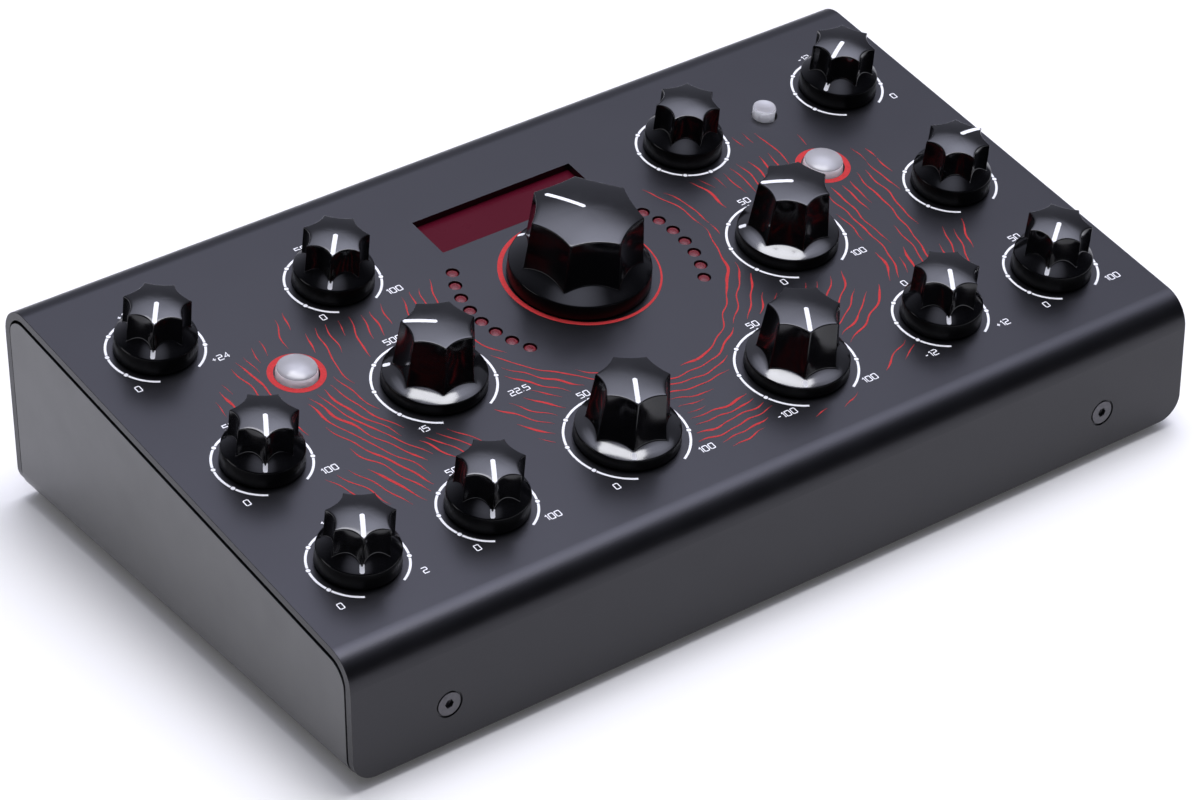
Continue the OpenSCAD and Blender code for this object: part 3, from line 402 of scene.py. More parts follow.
class Knob:
    """Outline of one knob size: its fluted grip, its dome and its shoulder."""

    def __init__(self, skirt_d, rim_h, slope, top_d, base_d, valley_d, cusp_h, dome):
        self.top_r, self.rim_r, self.skirt_r = top_d / 2, skirt_d / 2 - RIM_DRAFT, skirt_d / 2
        self.rim_h, self.cusp_h, self.top_h = rim_h, cusp_h, cusp_h + dome
        self.fall = math.tan(math.radians(slope))
        base_h = rim_h + (self.rim_r - base_d / 2) * self.fall
        self.taper = (base_d - top_d) / 2 / (cusp_h - base_h)
        self.ball = (self.top_r ** 2 + dome ** 2) / (2 * dome)
        cusp, valley = self.top_r + BLUNT, valley_d / 2
        sag = cusp * math.cos(HALF) - valley
        self.flute_r = ((cusp * math.sin(HALF)) ** 2 + sag ** 2) / (2 * sag)
        self.flute_at = valley + self.flute_r

    def grip(self, turn):
        """Radius of the grip at the cusps' height, in one direction."""
        off = turn % (2 * HALF) - HALF
        flute = self.flute_at * math.cos(off) - math.sqrt(self.flute_r ** 2 - (self.flute_at * math.sin(off)) ** 2)
        return -CUSP_SOFT * math.log(math.exp(-flute / CUSP_SOFT) + math.exp(-self.top_r / CUSP_SOFT))

    def dome(self, r):
        return self.top_h - self.ball + math.sqrt(self.ball ** 2 - r * r)

    def shoulder(self, r):
        return self.rim_h + (self.rim_r - r) * self.fall

    def path(self, turn, twist=0.0):
        """Radius and height from the dome's middle, down the outside and up to the bore; twist turns the flutes."""
        grip, lip = self.grip(turn - twist), LIP_CURVE
        edge = self.dome(grip)
        foot = (grip + self.taper * (self.cusp_h - self.rim_h - self.rim_r * self.fall)) / (1 - self.taper * self.fall)
        line = [(f * (grip - lip), self.dome(f * (grip - lip))) for f in (0.1, 0.3, 0.5, 0.68, 0.82, 0.92)]
        line += bend((grip - lip, self.dome(grip - lip)), (grip, edge), (grip + self.taper * lip, edge - lip), 4)
        low = self.shoulder(foot) + FOOT_CURVE
        high = edge - lip
        for f in (0.25, 0.5, 0.75):
            h = high + (low - high) * f
            line.append((grip + self.taper * (self.cusp_h - h), h))
        line += bend((grip + self.taper * (self.cusp_h - low), low), (foot, self.shoulder(foot)),
                     (foot + FOOT_CURVE, self.shoulder(foot + FOOT_CURVE)), 3)
        for f in (0.33, 0.66):
            r = foot + FOOT_CURVE + (self.rim_r - RIM_CURVE - foot - FOOT_CURVE) * f
            line.append((r, self.shoulder(r)))
        line += bend((self.rim_r - RIM_CURVE, self.shoulder(self.rim_r - RIM_CURVE)), (self.rim_r, self.rim_h),
                     (self.rim_r, self.rim_h - RIM_CURVE), 4)
        line += bend((self.skirt_r, SKIRT_GAP + SOLE_CURVE), (self.skirt_r, SKIRT_GAP),
                     (self.skirt_r - SOLE_CURVE, SKIRT_GAP), 2)
        inner = self.rim_r - SKIRT_WALL
        line += [(inner, SKIRT_GAP), (inner, self.rim_h - SKIRT_WALL)]
        if self.rim_h - SKIRT_WALL < POCKET_TOP:
            line += [(POCKET_R, self.rim_h - SKIRT_WALL), (POCKET_R, POCKET_TOP)]
        bore = min(BORE_R, BORE_FLAT / math.cos(turn)) if math.cos(turn) > 0.4 else BORE_R
        return line + [(bore, max(POCKET_TOP, self.rim_h - SKIRT_WALL)), (bore, BORE_TOP)]


knobs = {size: Knob(**values) for size, values in KNOB_SIZES.items()}
print({size: round(knob.top_h, 1) for size, knob in knobs.items()}, "mm high")

# %% Skin of a knob
FLUTE_STEPS = 26
RIM_DEEP, LIT_SHOULDER_TILT, LIT_SHOULDER_TOP = 0.1, 0.7, 0.6
DATA_TURN, DATA_TWIST = 238.0, -29.0


def wrap_faces(rows, around):
    """Faces that wrap rings of points into a skin; two last points close its ends on the axis."""
    after = [(i + 1) % around for i in range(around)]
    first_end, last = rows * around, (rows - 1) * around
    faces = [(row + i, row + around + i, row + around + j, row + j)
             for row in range(0, last, around) for i, j in enumerate(after)]
    faces += [(first_end, i, j) for i, j in enumerate(after)]
    return faces + [(first_end + 1, last + j, last + i) for i, j in enumerate(after)]


def knob_mesh(size, twist=0.0):
    """Closed skin through the paths of all directions, with more of them near the cusps."""
    knob = knobs[size]
    turns = [(i + 0.5 - 0.5 * math.cos(math.pi * j / FLUTE_STEPS)) * 2 * HALF + twist
             for i in range(FLUTES) for j in range(FLUTE_STEPS)]
    paths = [knob.path(turn, twist) for turn in turns]
    rows = len(paths[0])
    points = [(r * math.cos(t), r * math.sin(t), h) for row in range(rows)
              for t, (r, h) in zip(turns, (path[row] for path in paths))]
    points += [(0, 0, knob.top_h), (0, 0, BORE_TOP)]
    mesh = mesh_of(size + "_knob", points, wrap_faces(rows, len(turns)), crease=50)
    for finish in (knob_gloss, skirt_satin, shoulder_highlight):
        mesh.materials.append(finish)
    for face in mesh.polygons:
        low = face.center.z < LIT_SHOULDER_TOP * knob.top_h * MM
        if math.hypot(face.center.x, face.center.y) > (knob.rim_r - RIM_DEEP) * MM:
            face.material_index = 1
        # upward-facing shoulder faces of the medium knobs take the painted highlight
        elif size == "medium" and low and face.normal.z > LIT_SHOULDER_TILT:
            face.material_index = 2
    return mesh


knob_skins = {size: knob_mesh(size) for size in knobs}
data_skin = knob_mesh("small", math.radians(DATA_TWIST))
print({size: len(mesh.polygons) for size, mesh in knob_skins.items()}, "faces")

# %% [markdown]
# ## Where the knobs stand and how far they are turned
# The frame already knows each shaft: its joint gives the axis, and the joint's range runs from 240 degrees before the
# rest angle to 60 after it, because every potentiometer turns 300 degrees. So the lesson reads the places from the
# joints and types none of them again. The data knob sits on an encoder, which has no end stops: its flutes are turned
# against its bore, so that they point as they do on the real unit while the bore stays on the shaft's flat.

# %% Place the knobs
MEDIUM, LARGE = ("cutoff", "reverb", "feedback", "mix"), ("time",)
STOP_AFTER_REST = 60
controls = {}
for joint in frame["joints"]:
    if joint["child"].endswith("_control"):
        name = joint["child"][: -len("_control")]
        size = "medium" if name in MEDIUM else "large" if name in LARGE else "small"
        spot = PANEL.inverted() @ Vector(joint["pos_m"]) / MM
        turn = joint["range_deg"][1] - STOP_AFTER_REST if joint.get("range_deg") else DATA_TURN
        controls[name] = (size, spot.x, spot.y, turn)
        skin = data_skin if name == "data" else knob_skins[size]
        add_piece(name + "_knob_skin", skin, knob_gloss, name + "_control",
                  on_panel(spot.x, spot.y, 0, turn), [name + "_knob"])
print("knobs placed:", {name: round(turn) for name, (_, _, _, turn) in controls.items()})

# %% [markdown]
# ## Pointers
# A white line is filled into the top of each knob and runs out to one cusp, and a short tick marks the shoulder below
# it. Painted lines like these are laid as a skin a few hundredths of a millimetre above the moulding: it follows the
# dome, narrows where the cusp narrows, and turns with the knob. The data knob has no end stops, so it has no pointer.

# %% Pointer lines and shoulder ticks
LIFT = 0.03
POINTER_W, POINTER_STEPS, CUSP_MARGIN = 1.1, 32, 0.2
TICK_IN, TICK_L, TICK_STEPS = 0.3, 1.7, 8
POINTERS = {"small": (0.8, 7.45), "medium": (0.4, 8.3), "large": (0.2, 11.0)}


def strip(stations):
    """Faces and points of a strip; a station is a length along X, a half width and a height function."""
    points, faces = [], []
    for x, half, height in stations:
        points += [(x, y, height(math.hypot(x, y)) + LIFT) for y in (-half, -half / 2, 0, half / 2, half)]
    for i in range(len(stations) - 1):
        faces += [(5 * i + j, 5 * i + j + 5, 5 * i + j + 6, 5 * i + j + 1) for j in range(4)]
    return points, faces


def pointer_mesh(size):
    """Pointer with round ends and its tick on the shoulder, as one mesh."""
    knob, (start, end), half = knobs[size], POINTERS[size], POINTER_W / 2
    stations = []
    for i in range(POINTER_STEPS + 1):
        x = start + (end - start) * i / POINTER_STEPS
        near = min(x - start, end - x, half)
        width = math.sqrt(max(half ** 2 - (half - near) ** 2, 1e-6))
        while width > 0.05 and math.hypot(x, width) > knob.grip(math.atan2(width, x)) - CUSP_MARGIN:
            width -= 0.02
        stations.append((x, width, knob.dome))
    points, faces = strip(stations)
    out = knob.rim_r - TICK_IN
    tick = [(out - TICK_L * i / TICK_STEPS, half * min(1, 0.55 + 0.9 * min(i, TICK_STEPS - i) / 2), knob.shoulder)
            for i in range(TICK_STEPS + 1)]
    more, links = strip(tick)
    faces += [tuple(i + len(points) for i in face[::-1]) for face in links]
    return mesh_of(size + "_pointer", points + more, faces)


pointer_skins = {size: pointer_mesh(size) for size in knobs}
for name, (size, across, up, turn) in controls.items():
    if name != "data":
        add_piece(name + "_pointer", pointer_skins[size], white_ink, name + "_control",
                  on_panel(across, up, 0, turn))
print("pointers:", len(controls) - 1)

# %% [markdown]
# ## Buttons and lamps
# The two large caps are milky mouldings with a low wall, a soft edge and a full dome, and the small one is a flat
# stud with a dished top. The lamps are little lenses with a step round their domes, sunk below the panel. All of them
# are turned shapes, so one helper spins an outline round the axis.

# %% Turned shapes
def turned_mesh(name, outline, around=48):
    """Skin spun from an outline of (radius, height); the ends are closed on the axis."""
    points = [(r * math.cos(2 * math.pi * i / around), r * math.sin(2 * math.pi * i / around), h)
              for r, h in outline for i in range(around)]
    points += [(0, 0, outline[0][1]), (0, 0, outline[-1][1])]
    return mesh_of(name, points, wrap_faces(len(outline), around), crease=35)


def dome_line(radius, top, rise, steps, stop):
    """Outline of a dome from near its middle to a radius."""
    ball = (radius ** 2 + rise ** 2) / (2 * rise)
    radii = [stop * (i + 0.3) / (steps + 0.3) for i in range(steps + 1)]
    return [(r, top - ball + math.sqrt(ball ** 2 - r * r)) for r in radii]


print("turned outline helper ready")

# %% Caps and lenses
CAP_FOOT, CAP_LIP_TOP, CAP_LIP = -3.75, -2.35, 1.1
DOME_R, DOME_WALL, DOME_RISE, DOME_DRAFT = 5.05, 1.9, 1.1, 0.3
FLAT_R, FLAT_H, FLAT_DISH = 2.9, 2.4, 0.25


def cap_foot(radius):
    """The hidden lower end that every cap shares: its wall, its lip and its foot."""
    return [(radius, CAP_LIP_TOP), (radius + CAP_LIP, CAP_LIP_TOP), (radius + CAP_LIP, CAP_FOOT), (0.02, CAP_FOOT)]


dome_top = DOME_WALL + DOME_RISE
edge_r = DOME_R - DOME_DRAFT
domed_line = dome_line(edge_r, dome_top, DOME_RISE, 9, edge_r - 0.3)
domed_line += bend(domed_line[-1], (edge_r, DOME_WALL), (edge_r + 0.05, DOME_WALL - 0.3), 4)[1:]
domed_line += [(DOME_R, 0.0)] + cap_foot(DOME_R)
dish_ball = ((0.8 * FLAT_R) ** 2 + FLAT_DISH ** 2) / (2 * FLAT_DISH)
dish_line = [(r, FLAT_H - FLAT_DISH + dish_ball - math.sqrt(dish_ball ** 2 - r * r)) for r in (0.05, 0.8, 1.5, 2.0)]
dish_line += bend((2.0, dish_line[-1][1]), (2.3, FLAT_H), (2.5, FLAT_H), 2)[1:]
dish_line += bend((2.6, FLAT_H), (FLAT_R, FLAT_H), (FLAT_R, FLAT_H - 0.3), 3) + cap_foot(FLAT_R)
domed_cap, flat_cap = turned_mesh("domed_cap", domed_line), turned_mesh("flat_cap", dish_line, 36)
for cap in (domed_cap, flat_cap):
    cap.materials.append(milk_cap_painted_shade)
    cap.materials.append(milk_wall_painted_light)
    for face in cap.polygons:
        # side faces take the whiter wall colour (painted light), the rest the greyer dome colour (painted shade)
        face.material_index = int(abs(face.normal.z) < 0.3)
keys = {}
for joint in frame["joints"]:
    if joint["child"].endswith("_key"):
        name = joint["child"][: -len("_key")]
        low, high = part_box(name + "_button")
        spot = PANEL.inverted() @ ((low + high) / 2) / MM
        keys[name] = (spot.x, spot.y)
        add_piece(name + "_cap", flat_cap if name == "back" else domed_cap, milk_cap_painted_shade, name + "_key",
                  on_panel(spot.x, spot.y), [name + "_button"])
print("caps:", {name: [round(v, 1) for v in spot] for name, spot in keys.items()})

# %% [markdown]
# The sixteen lamps stand in two arcs round the large knob. Each lens is a flat dome with a fine groove, sunk a little
# below the panel's face. One lens is copied to all the places and the copies become one piece, as the CAD has them.

# %% Lamp lenses
LAMP_R, LAMP_SINK, LAMP_DEEP = 1.5, 0.3, 3.0
LAMP_RING, LAMP_STEP, LAMPS = 30.0, 9.05, 8
lens_line = [(0.02, -LAMP_SINK), (0.45, -LAMP_SINK - 0.005), (0.8, -LAMP_SINK - 0.02)]
lens_line += [(0.86, -LAMP_SINK - 0.05), (0.92, -LAMP_SINK - 0.05), (0.98, -LAMP_SINK - 0.03)]
lens_line += bend((1.05, -LAMP_SINK - 0.03), (LAMP_R - 0.02, -LAMP_SINK - 0.08), (LAMP_R, -LAMP_SINK - 0.55), 6)
lens_line += [(LAMP_R, -LAMP_DEEP), (0.02, -LAMP_DEEP)]
lens = turned_mesh("lamp_lens", lens_line, 32)
_, _, time_up, _ = controls["time"]
lamp_spots = []
for side in (0, 180):
    for i in range(LAMPS):
        angle = math.radians(side + (i - (LAMPS - 1) / 2) * LAMP_STEP)
        lamp_spots.append((LAMP_RING * math.cos(angle), time_up + LAMP_RING * math.sin(angle)))
lens_all = bmesh.new()
for across, up in lamp_spots:
    one = lens.copy()
    one.transform(on_panel(across, up))
    lens_all.from_mesh(one)
lens_mesh = lens.copy()
lens_all.to_mesh(lens_mesh)
lens_all.free()
add_piece("lamp_lenses", lens_mesh, red_lens, "case", stands_for=["indicator_lamps"])
print("lenses:", len(lamp_spots))

# %% [markdown]
# ## Printing
# The scales are screen-printed: a stripe of ink of even width round each dial, a dot at every eighth of its travel,
# and upright numbers at its ends. Ink could be painted by a texture, but then its edges blur in close-up and it has to
# be aligned by hand. Here each stroke is a thin ribbon of faces just above the panel, so it stays crisp at any size.
# All the white strokes become one piece and all the red strokes another.

# %% Ribbons of ink
INK_LIFT = 0.03
white_print, red_print = ([], []), ([], [])


def ribbon(ink, line, width, closed=False):
    """Stripe of ink along a line of panel points; width is one value or one for each point."""
    line = np.asarray(line, float)
    wide = np.broadcast_to(np.asarray(width, float), (len(line),)) / 2
    ahead = np.roll(line, -1, 0) - line
    behind = line - np.roll(line, 1, 0)
    if not closed:
        ahead[-1], behind[0] = behind[-1], ahead[0]
    ahead /= np.linalg.norm(ahead, axis=1)[:, None]
    behind /= np.linalg.norm(behind, axis=1)[:, None]
    along = ahead + behind
    along /= np.linalg.norm(along, axis=1)[:, None]
    side = np.stack([-along[:, 1], along[:, 0]], 1)
    mitre = np.clip((along * ahead).sum(1), 0.6, 1.0)
    step = side * (wide / mitre)[:, None]
    points, faces = ink
    first, count = len(points), len(line)
    for left, right in zip(line + step, line - step):
        points += [(left[0], left[1], INK_LIFT), (right[0], right[1], INK_LIFT)]
    for i in range(count if closed else count - 1):
        j = (i + 1) % count
        faces.append((first + 2 * i, first + 2 * i + 1, first + 2 * j + 1, first + 2 * j))


def round_line(across, up, radius, start, end, step=3.0):
    """Points of an arc, in degrees anticlockwise from the panel's right."""
    angles = np.radians(np.linspace(start, end, max(3, int(abs(end - start) / step))))
    return np.stack([across + radius * np.cos(angles), up + radius * np.sin(angles)], 1)


def dot(ink, across, up, radius):
    points, faces = ink
    rim = round_line(across, up, radius, 0, 337.5, 21)
    faces.append(tuple(range(len(points), len(points) + len(rim))))
    points += [(x, y, INK_LIFT) for x, y in rim]


print("ink ribbons ready")

# %% [markdown]
# The numbers are drawn with the squared strokes of a plotter pen. Each digit is a few corner points on a grid of
# three by four, so there is no font to load, and the corners are cut as they are on the real panel.

# %% Numbers
DIGIT_W, DIGIT_H, DIGIT_GAP, DIGIT_LINE = 1.2, 1.75, 0.5, 0.27
SHAPES = {
    "0": [[(0.4, 0), (2.6, 0), (3, 0.4), (3, 3.6), (2.6, 4), (0.4, 4), (0, 3.6), (0, 0.4), (0.4, 0)]],
    "1": [[(0, 3.2), (1, 4), (1, 0)]],
    "2": [[(0, 4), (2.6, 4), (3, 3.6), (3, 2.4), (2.6, 2.1), (0.4, 2), (0, 1.6), (0, 0), (3, 0)]],
    "4": [[(2.3, 0), (2.3, 4), (0, 1.2), (3, 1.2)]],
    "5": [[(3, 4), (0, 4), (0, 2.3), (2.6, 2.3), (3, 1.9), (3, 0.4), (2.6, 0), (0, 0)]],
    "+": [[(0.3, 2), (2.3, 2)], [(1.3, 1), (1.3, 3)]],
    "-": [[(0.3, 2), (2.1, 2)]],
    ".": [[(0, 0), (0, 0.45)]],
}
WIDTHS = {"1": 1.0, "+": 2.6, "-": 2.4, ".": 0.3}


def number(text, across, up):
    """Upright number with its middle on a point."""
    unit = DIGIT_W / 3
    wides = [WIDTHS.get(c, 3) * unit for c in text]
    x = across - (sum(wides) + DIGIT_GAP * (len(text) - 1)) / 2
    for c, wide in zip(text, wides):
        for stroke in SHAPES[c]:
            ribbon(white_print, [(x + a * unit, up + (b - 2) * DIGIT_H / 4) for a, b in stroke], DIGIT_LINE)
        x += wide + DIGIT_GAP


print("digits:", "".join(SHAPES))

# %% [markdown]
# A scale is an arc over the travel of its knob, broken by a gap at each dot. The numbers stand at its two ends and over
# its middle. The encoder's dial is a full circle, because that knob turns without end.

# %% Scales round the dials
SCALE_R = {"small": 11.5, "medium": 14.6}
SCALE_LINE, DOT_R, DOT_STEP, SCALE_ENDS = 0.6, 0.55, 37.5, (-63.0, 243.5)
DATA_MARKS = [236.25, 270.0, 303.75]
LABELS = {
    "gain": (("0", -10.75), "+12", ("+24", 11.25)), "motion": (("0", -9.4), "50", ("100", 10.7)),
    "filter": (("0", -10.5), "50", ("100", 11.5)), "mod_speed": (("0", -11.25), "1", ("2", 11.0)),
    "mod_depth": (("0", -9.7), "50", ("100", 10.95)), "cutoff": (("15", -11.5), "500", ("22.5", 15.0)),
    "reverb": (("0", -12.2), "50", ("100", 13.4)), "volume": (("", 0), "-12", ("0", 10.25)),
    "shimmer": (("0", -10.0), "50", ("100", 11.1)), "pitch": (("-12", -11.1), "0", ("+12", 11.05)),
    "feedback": (("0", -10.7), "50", ("100", 12.2)), "mix": (("-100", -12.8), "50", ("100", 12.0)),
}
SIDE = {"small": (10.0, 13.6), "medium": (12.6, 16.8)}
for name, (size, across, up, _) in controls.items():
    if size == "large":
        continue
    radius = SCALE_R[size]
    gap = math.degrees((DOT_R + 0.15) / radius)
    marks = [90 + k * DOT_STEP for k in range(-3, 4)]
    if name == "data":
        marks += DATA_MARKS
        breaks = marks + [marks[0] + 360]
    else:
        breaks = [SCALE_ENDS[0] - gap] + marks + [SCALE_ENDS[1] + gap]
    for mark in marks:
        dot(white_print, *round_line(across, up, radius, mark, mark)[0], DOT_R)
    for a, b in zip(breaks, breaks[1:]):
        ribbon(white_print, round_line(across, up, radius, a + gap, b - gap), SCALE_LINE)
    if name in LABELS:
        down, above = SIDE[size]
        (low_text, low_x), mid_text, (high_text, high_x) = LABELS[name]
        for text, x, y in ((low_text, low_x, -down), (mid_text, 0, above), (high_text, high_x, -down)):
            number(text, across + x, up + y)
print("white strokes:", len(white_print[1]), "faces")

# %% [markdown]
# ## Red print
# The panel also carries red print: a ring round each of the two large milky buttons, a thin crescent round the large
# knob, and a rough line ornament over the rest. The ornament here is a plain one: ripples that spread from the large
# knob, as an echo does, wander a little, swell and break off, and keep clear of every dial, number and opening. They
# come from a few sine waves with fixed phases, so each run prints the same panel.

# %% Rings and ripples
KEY_RING_R, KEY_RING_W = 6.16, 1.46
CRESCENT_R, CRESCENT_X, CRESCENT_Y = 19.25, 1.1, 0.75
PRINT_X, PRINT_LOW, PRINT_HIGH, WINDOW_X, WINDOW_LOW = 114, 11, 133, 40, 101
LAMPS_R, DIAL_CLEAR, KEY_CLEAR = 33, 1.6, 8.2
ENDS_SPAN, MIDDLE_SPAN, NUMBER_SPAN = 17, 4.5, 2.2
for name in ("freeze", "tap"):
    ribbon(red_print, round_line(*keys[name], KEY_RING_R, 0, 355, 5), KEY_RING_W, closed=True)
around = np.radians(np.arange(0, 360, 2.5))
crescent = np.stack([CRESCENT_X + CRESCENT_R * np.cos(around), time_up + CRESCENT_Y + CRESCENT_R * np.sin(around)], 1)
ribbon(red_print, crescent, 0.85 - 0.45 * np.cos(around), closed=True)


def wander(x, y, seed):
    """Smooth field of about -1 to 1, from five crossing waves."""
    turns = [seed * 2.4 + i * 1.9 for i in range(5)]
    return sum(np.sin(x * math.cos(a) * (1 + 0.3 * i) + y * math.sin(a) * (1 + 0.3 * i) + seed * 5.1 + i * 1.7)
               for i, a in enumerate(turns)) / 3.2


def is_clear(x, y):
    """Where the ornament may print: away from dials, numbers, buttons, lamps, window and edges."""
    free = (abs(x) < PRINT_X) & (y > PRINT_LOW) & (y < PRINT_HIGH)
    free &= ~((abs(x) < WINDOW_X) & (y > WINDOW_LOW))
    for size, across, up, _ in controls.values():
        down, above = SIDE.get(size, (0, 0))
        free &= np.hypot(x - across, y - up) > SCALE_R.get(size, LAMPS_R) + DIAL_CLEAR
        free &= ~((abs(x - across) < ENDS_SPAN) & (abs(y - up + down) < NUMBER_SPAN))
        free &= ~((abs(x - across) < MIDDLE_SPAN) & (abs(y - up - above) < NUMBER_SPAN))
    for across, up in keys.values():
        free &= np.hypot(x - across, y - up) > KEY_CLEAR
    return free


RIPPLE_FIRST, RIPPLE_STEP, RIPPLES = 34.0, 2.7, 26
FIELD_X, FIELD_Y, FIELD_UP = 101, 53, 66
strokes = 0
for k in range(RIPPLES):
    radius = RIPPLE_FIRST + RIPPLE_STEP * k
    turns = np.radians(np.arange(0, 360, 40 / radius))
    x, y = radius * np.cos(turns), time_up + radius * np.sin(turns)
    push = 3.2 * wander(x / 16, y / 16, 1.0) + 0.5 * wander(x / 2.2, y / 2.2, 2.0)
    x, y = x + push * np.cos(turns), y + push * np.sin(turns)
    field = (x / FIELD_X) ** 2 + ((y - FIELD_UP) / FIELD_Y) ** 2 + 0.15 * wander(x / 20, y / 20, 6.0)
    shown = is_clear(x, y) & (field < 1) & (wander(x / 12, y / 12, 3.0 + 0.05 * k) > -0.25)
    width = 0.3 + 0.4 * np.clip(wander(x / 5, y / 5, 4.0 + 0.3 * k), 0, 1) + 0.08 * wander(x / 0.8, y / 0.8, 5.0)
    for run in np.split(np.arange(len(x)), np.where(~shown)[0]):
        run = run[shown[run]]
        if len(run) > 6:
            taper = np.clip(np.minimum(np.arange(len(run)), np.arange(len(run))[::-1]) / 5, 0.15, 1)
            ribbon(red_print, np.stack([x[run], y[run]], 1), np.clip(width[run], 0.14, 1) * taper)
            strokes += 1
for name, ink, (points, faces) in (("white_print", white_ink, white_print), ("red_print", red_ink, red_print)):
    add_piece(name, mesh_of(name, points, faces), ink, "case", PANEL)
print("ripple strokes:", strokes, "red faces:", len(red_print[1]))

# %% [markdown]
# ## Camera
# The photograph was taken with a long lens from the front left, looking down by about a third of a right angle. The
# camera's place and turn were solved from the round dials and the straight edges of the case.

# %% Place the camera
lens_data = bpy.data.cameras.new("portrait_camera")
lens_data.sensor_width = 36.0
lens_data.lens = 136.2
lens_data.clip_start, lens_data.clip_end = 0.05, 20.0
camera = bpy.data.objects.new("portrait_camera", lens_data)
camera.location = (-0.53924, -0.72504, 0.61959)
camera.rotation_euler = [math.radians(a) for a in (56.26766, 0.06388, -36.67716)]
bpy.context.scene.collection.objects.link(camera)
bpy.context.scene.camera = camera
print("camera", round(camera.location.length, 3), "m from the unit")

# %% [markdown]
# ## Studio
# The unit stands on a pale floor. A black satin surface shows hardly any colour of its own: what we see on it is the
# room. So the room is built as the photograph shows it: bright overhead, dark lower down, which gives the black band
# under the front bend, and with a white floor, which fills the front face and the cheek. The floor gets a little of
# its white from the rays that show it, and it still takes the unit's shadow.

# %% What the camera and the gloss see
def seen_rays(tree):
    """Factor that is 1 for rays that show a surface: those of the camera, of gloss and of clear plastic."""
    rays = tree.nodes.new("ShaderNodeLightPath")
    factor = rays.outputs["Is Camera Ray"]
    for other in ("Is Glossy Ray", "Is Transmission Ray"):
        either = tree.nodes.new("ShaderNodeMath")
        either.operation = "MAXIMUM"
        tree.links.new(factor, either.inputs[0])
        tree.links.new(rays.outputs[other], either.inputs[1])
        factor = either.outputs["Value"]
    return factor


FLOOR_LIFT, FLOOR_HALF = 0.06, 4000
floor_finish = new_finish("pale_floor", (0.84, 0.83, 0.79), 0.9, Emission_Color=(1, 1, 1, 1))
vary_roughness(floor_finish, 60, 0.85, 0.95)
lift = floor_finish.node_tree.nodes.new("ShaderNodeMapRange")
lift.inputs["To Max"].default_value = FLOOR_LIFT
floor_finish.node_tree.links.new(seen_rays(floor_finish.node_tree), lift.inputs["Value"])
floor_shader = floor_finish.node_tree.nodes["Principled BSDF"]
floor_finish.node_tree.links.new(lift.outputs["Result"], floor_shader.inputs["Emission Strength"])
corners = [(x * FLOOR_HALF, y * FLOOR_HALF, 0) for x, y in ((-1, -1), (1, -1), (1, 1), (-1, 1))]
floor_mesh = mesh_of("floor", corners, [(0, 1, 2, 3)])
floor_mesh.materials.append(floor_finish)
floor = bpy.data.objects.new("floor", floor_mesh)
bpy.context.scene.collection.objects.link(floor)
floor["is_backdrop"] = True
print("floor", [round(v, 1) for v in floor.dimensions], "m")

# %% [markdown]
# ## Lamps
# One long soft box hangs over the unit, with its length across the picture. It makes the bright crescents on the
# shoulders of the medium knobs, the front lips of the domes and the shine on the caps. A weak second box stands low
# behind the left side.

# %% Hang the lamps
def softbox(name, place, aim, width, height, power, roll=0.0):
    """Rectangular lamp at a place, in metres, pointed at a spot and rolled about its own axis."""
    data = bpy.data.lights.new(name, "AREA")
    data.shape, data.size, data.size_y, data.energy = "RECTANGLE", width, height, power
    data.color = (0.97, 0.97, 1)
    lamp = bpy.data.objects.new(name, data)
    lamp.location = place
    pointed = (Vector(aim) - Vector(place)).to_track_quat("-Z", "Y")
    lamp.rotation_euler = (pointed @ Quaternion((0, 0, 1), math.radians(roll))).to_euler()
    bpy.context.scene.collection.objects.link(lamp)


softbox("overhead_box", (0.11, -0.03, 1.5), (0, 0, 0), 1.0, 0.5, 12, roll=-127)
softbox("left_box", (-1.3, 0.5, 0.5), (0, 0, 0.02), 0.7, 0.5, 1)

# %% [markdown]
# ## The rest of the room
# Reflector boards and ceiling are not modelled. Each is a soft patch of light in the world instead: a direction, how
# far the patch reaches, how quickly it fades and how bright it gets. A patch is reflected by whatever faces it, so the
# list below names the surface that each one is there for.

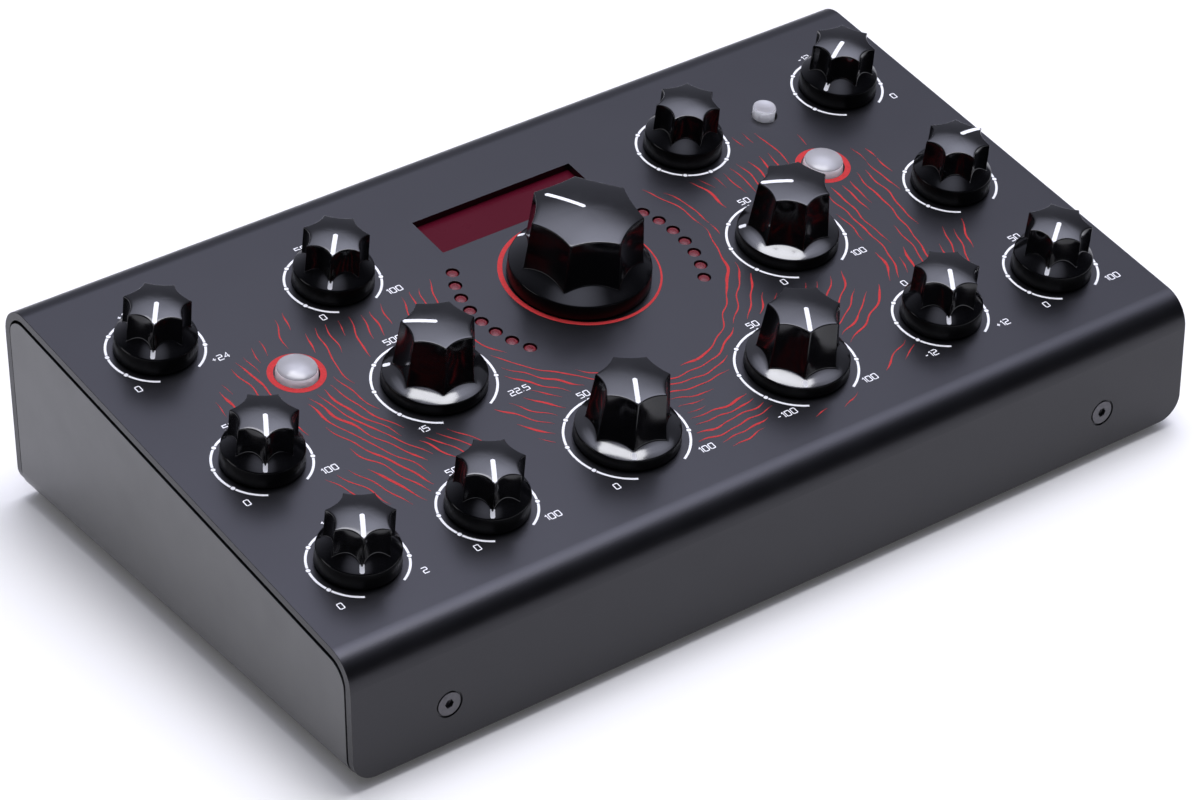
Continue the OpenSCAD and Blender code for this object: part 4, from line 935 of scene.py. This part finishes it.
# %% World
PATCHES = [
    ((0.15, 0, 0.99), 0.6, 1.0, 1.5, 0.02, 0.35),    # ceiling
    ((0.25, 0.25, 0.93), 0.87, 1.0, 1.2, 0.0, 4.3),  # panel, brightest at its left front, and domes
    ((0.38, 0.8, 0.42), 0.3, 0.95, 1.5, 0.0, 0.42),  # whole panel
    ((-0.2, -0.4, 0.89), 0.85, 1.0, 1.3, 0.0, 1.5),  # shoulders of the large and small knobs
    ((0.48, 0, 0.877), 0.93, 1.0, 1.0, 0.0, 2.4),    # front bend
]
world = bpy.data.worlds.new("studio")
bpy.context.scene.world = world
world.use_nodes = True
tree = world.node_tree
heading = tree.nodes.new("ShaderNodeTexCoord")


def lobe(axis, edge, full, power, low, high):
    """Brightness that grows from one level to another towards an axis; edge and full are cosines."""
    towards = tree.nodes.new("ShaderNodeVectorMath")
    towards.operation = "DOT_PRODUCT"
    towards.inputs[1].default_value = Vector(axis).normalized()
    near = tree.nodes.new("ShaderNodeMapRange")
    near.inputs["From Min"].default_value, near.inputs["From Max"].default_value = edge, full
    fall = tree.nodes.new("ShaderNodeMath")
    fall.operation, fall.inputs[1].default_value = "POWER", power
    level = tree.nodes.new("ShaderNodeMapRange")
    level.inputs["To Min"].default_value, level.inputs["To Max"].default_value = low, high
    tree.links.new(heading.outputs["Generated"], towards.inputs[0])
    tree.links.new(towards.outputs["Value"], near.inputs["Value"])
    tree.links.new(near.outputs["Result"], fall.inputs[0])
    tree.links.new(fall.outputs["Value"], level.inputs["Value"])
    return level.outputs["Result"]


total, *others = [lobe(*patch) for patch in PATCHES]
for other in others:
    add = tree.nodes.new("ShaderNodeMath")
    tree.links.new(total, add.inputs[0])
    tree.links.new(other, add.inputs[1])
    total = add.outputs["Value"]
back = tree.nodes["Background"]
back.inputs["Color"].default_value = (0.79, 0.81, 1, 1)
tree.links.new(total, back.inputs["Strength"])
bpy.context.scene.view_settings.view_transform = "Standard"
print("patches of light in the world:", len(PATCHES))

# %% Measure the sizes and finish
low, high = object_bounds()
print("visual box in mm:", [round(1000 * c, 1) for c in high - low])
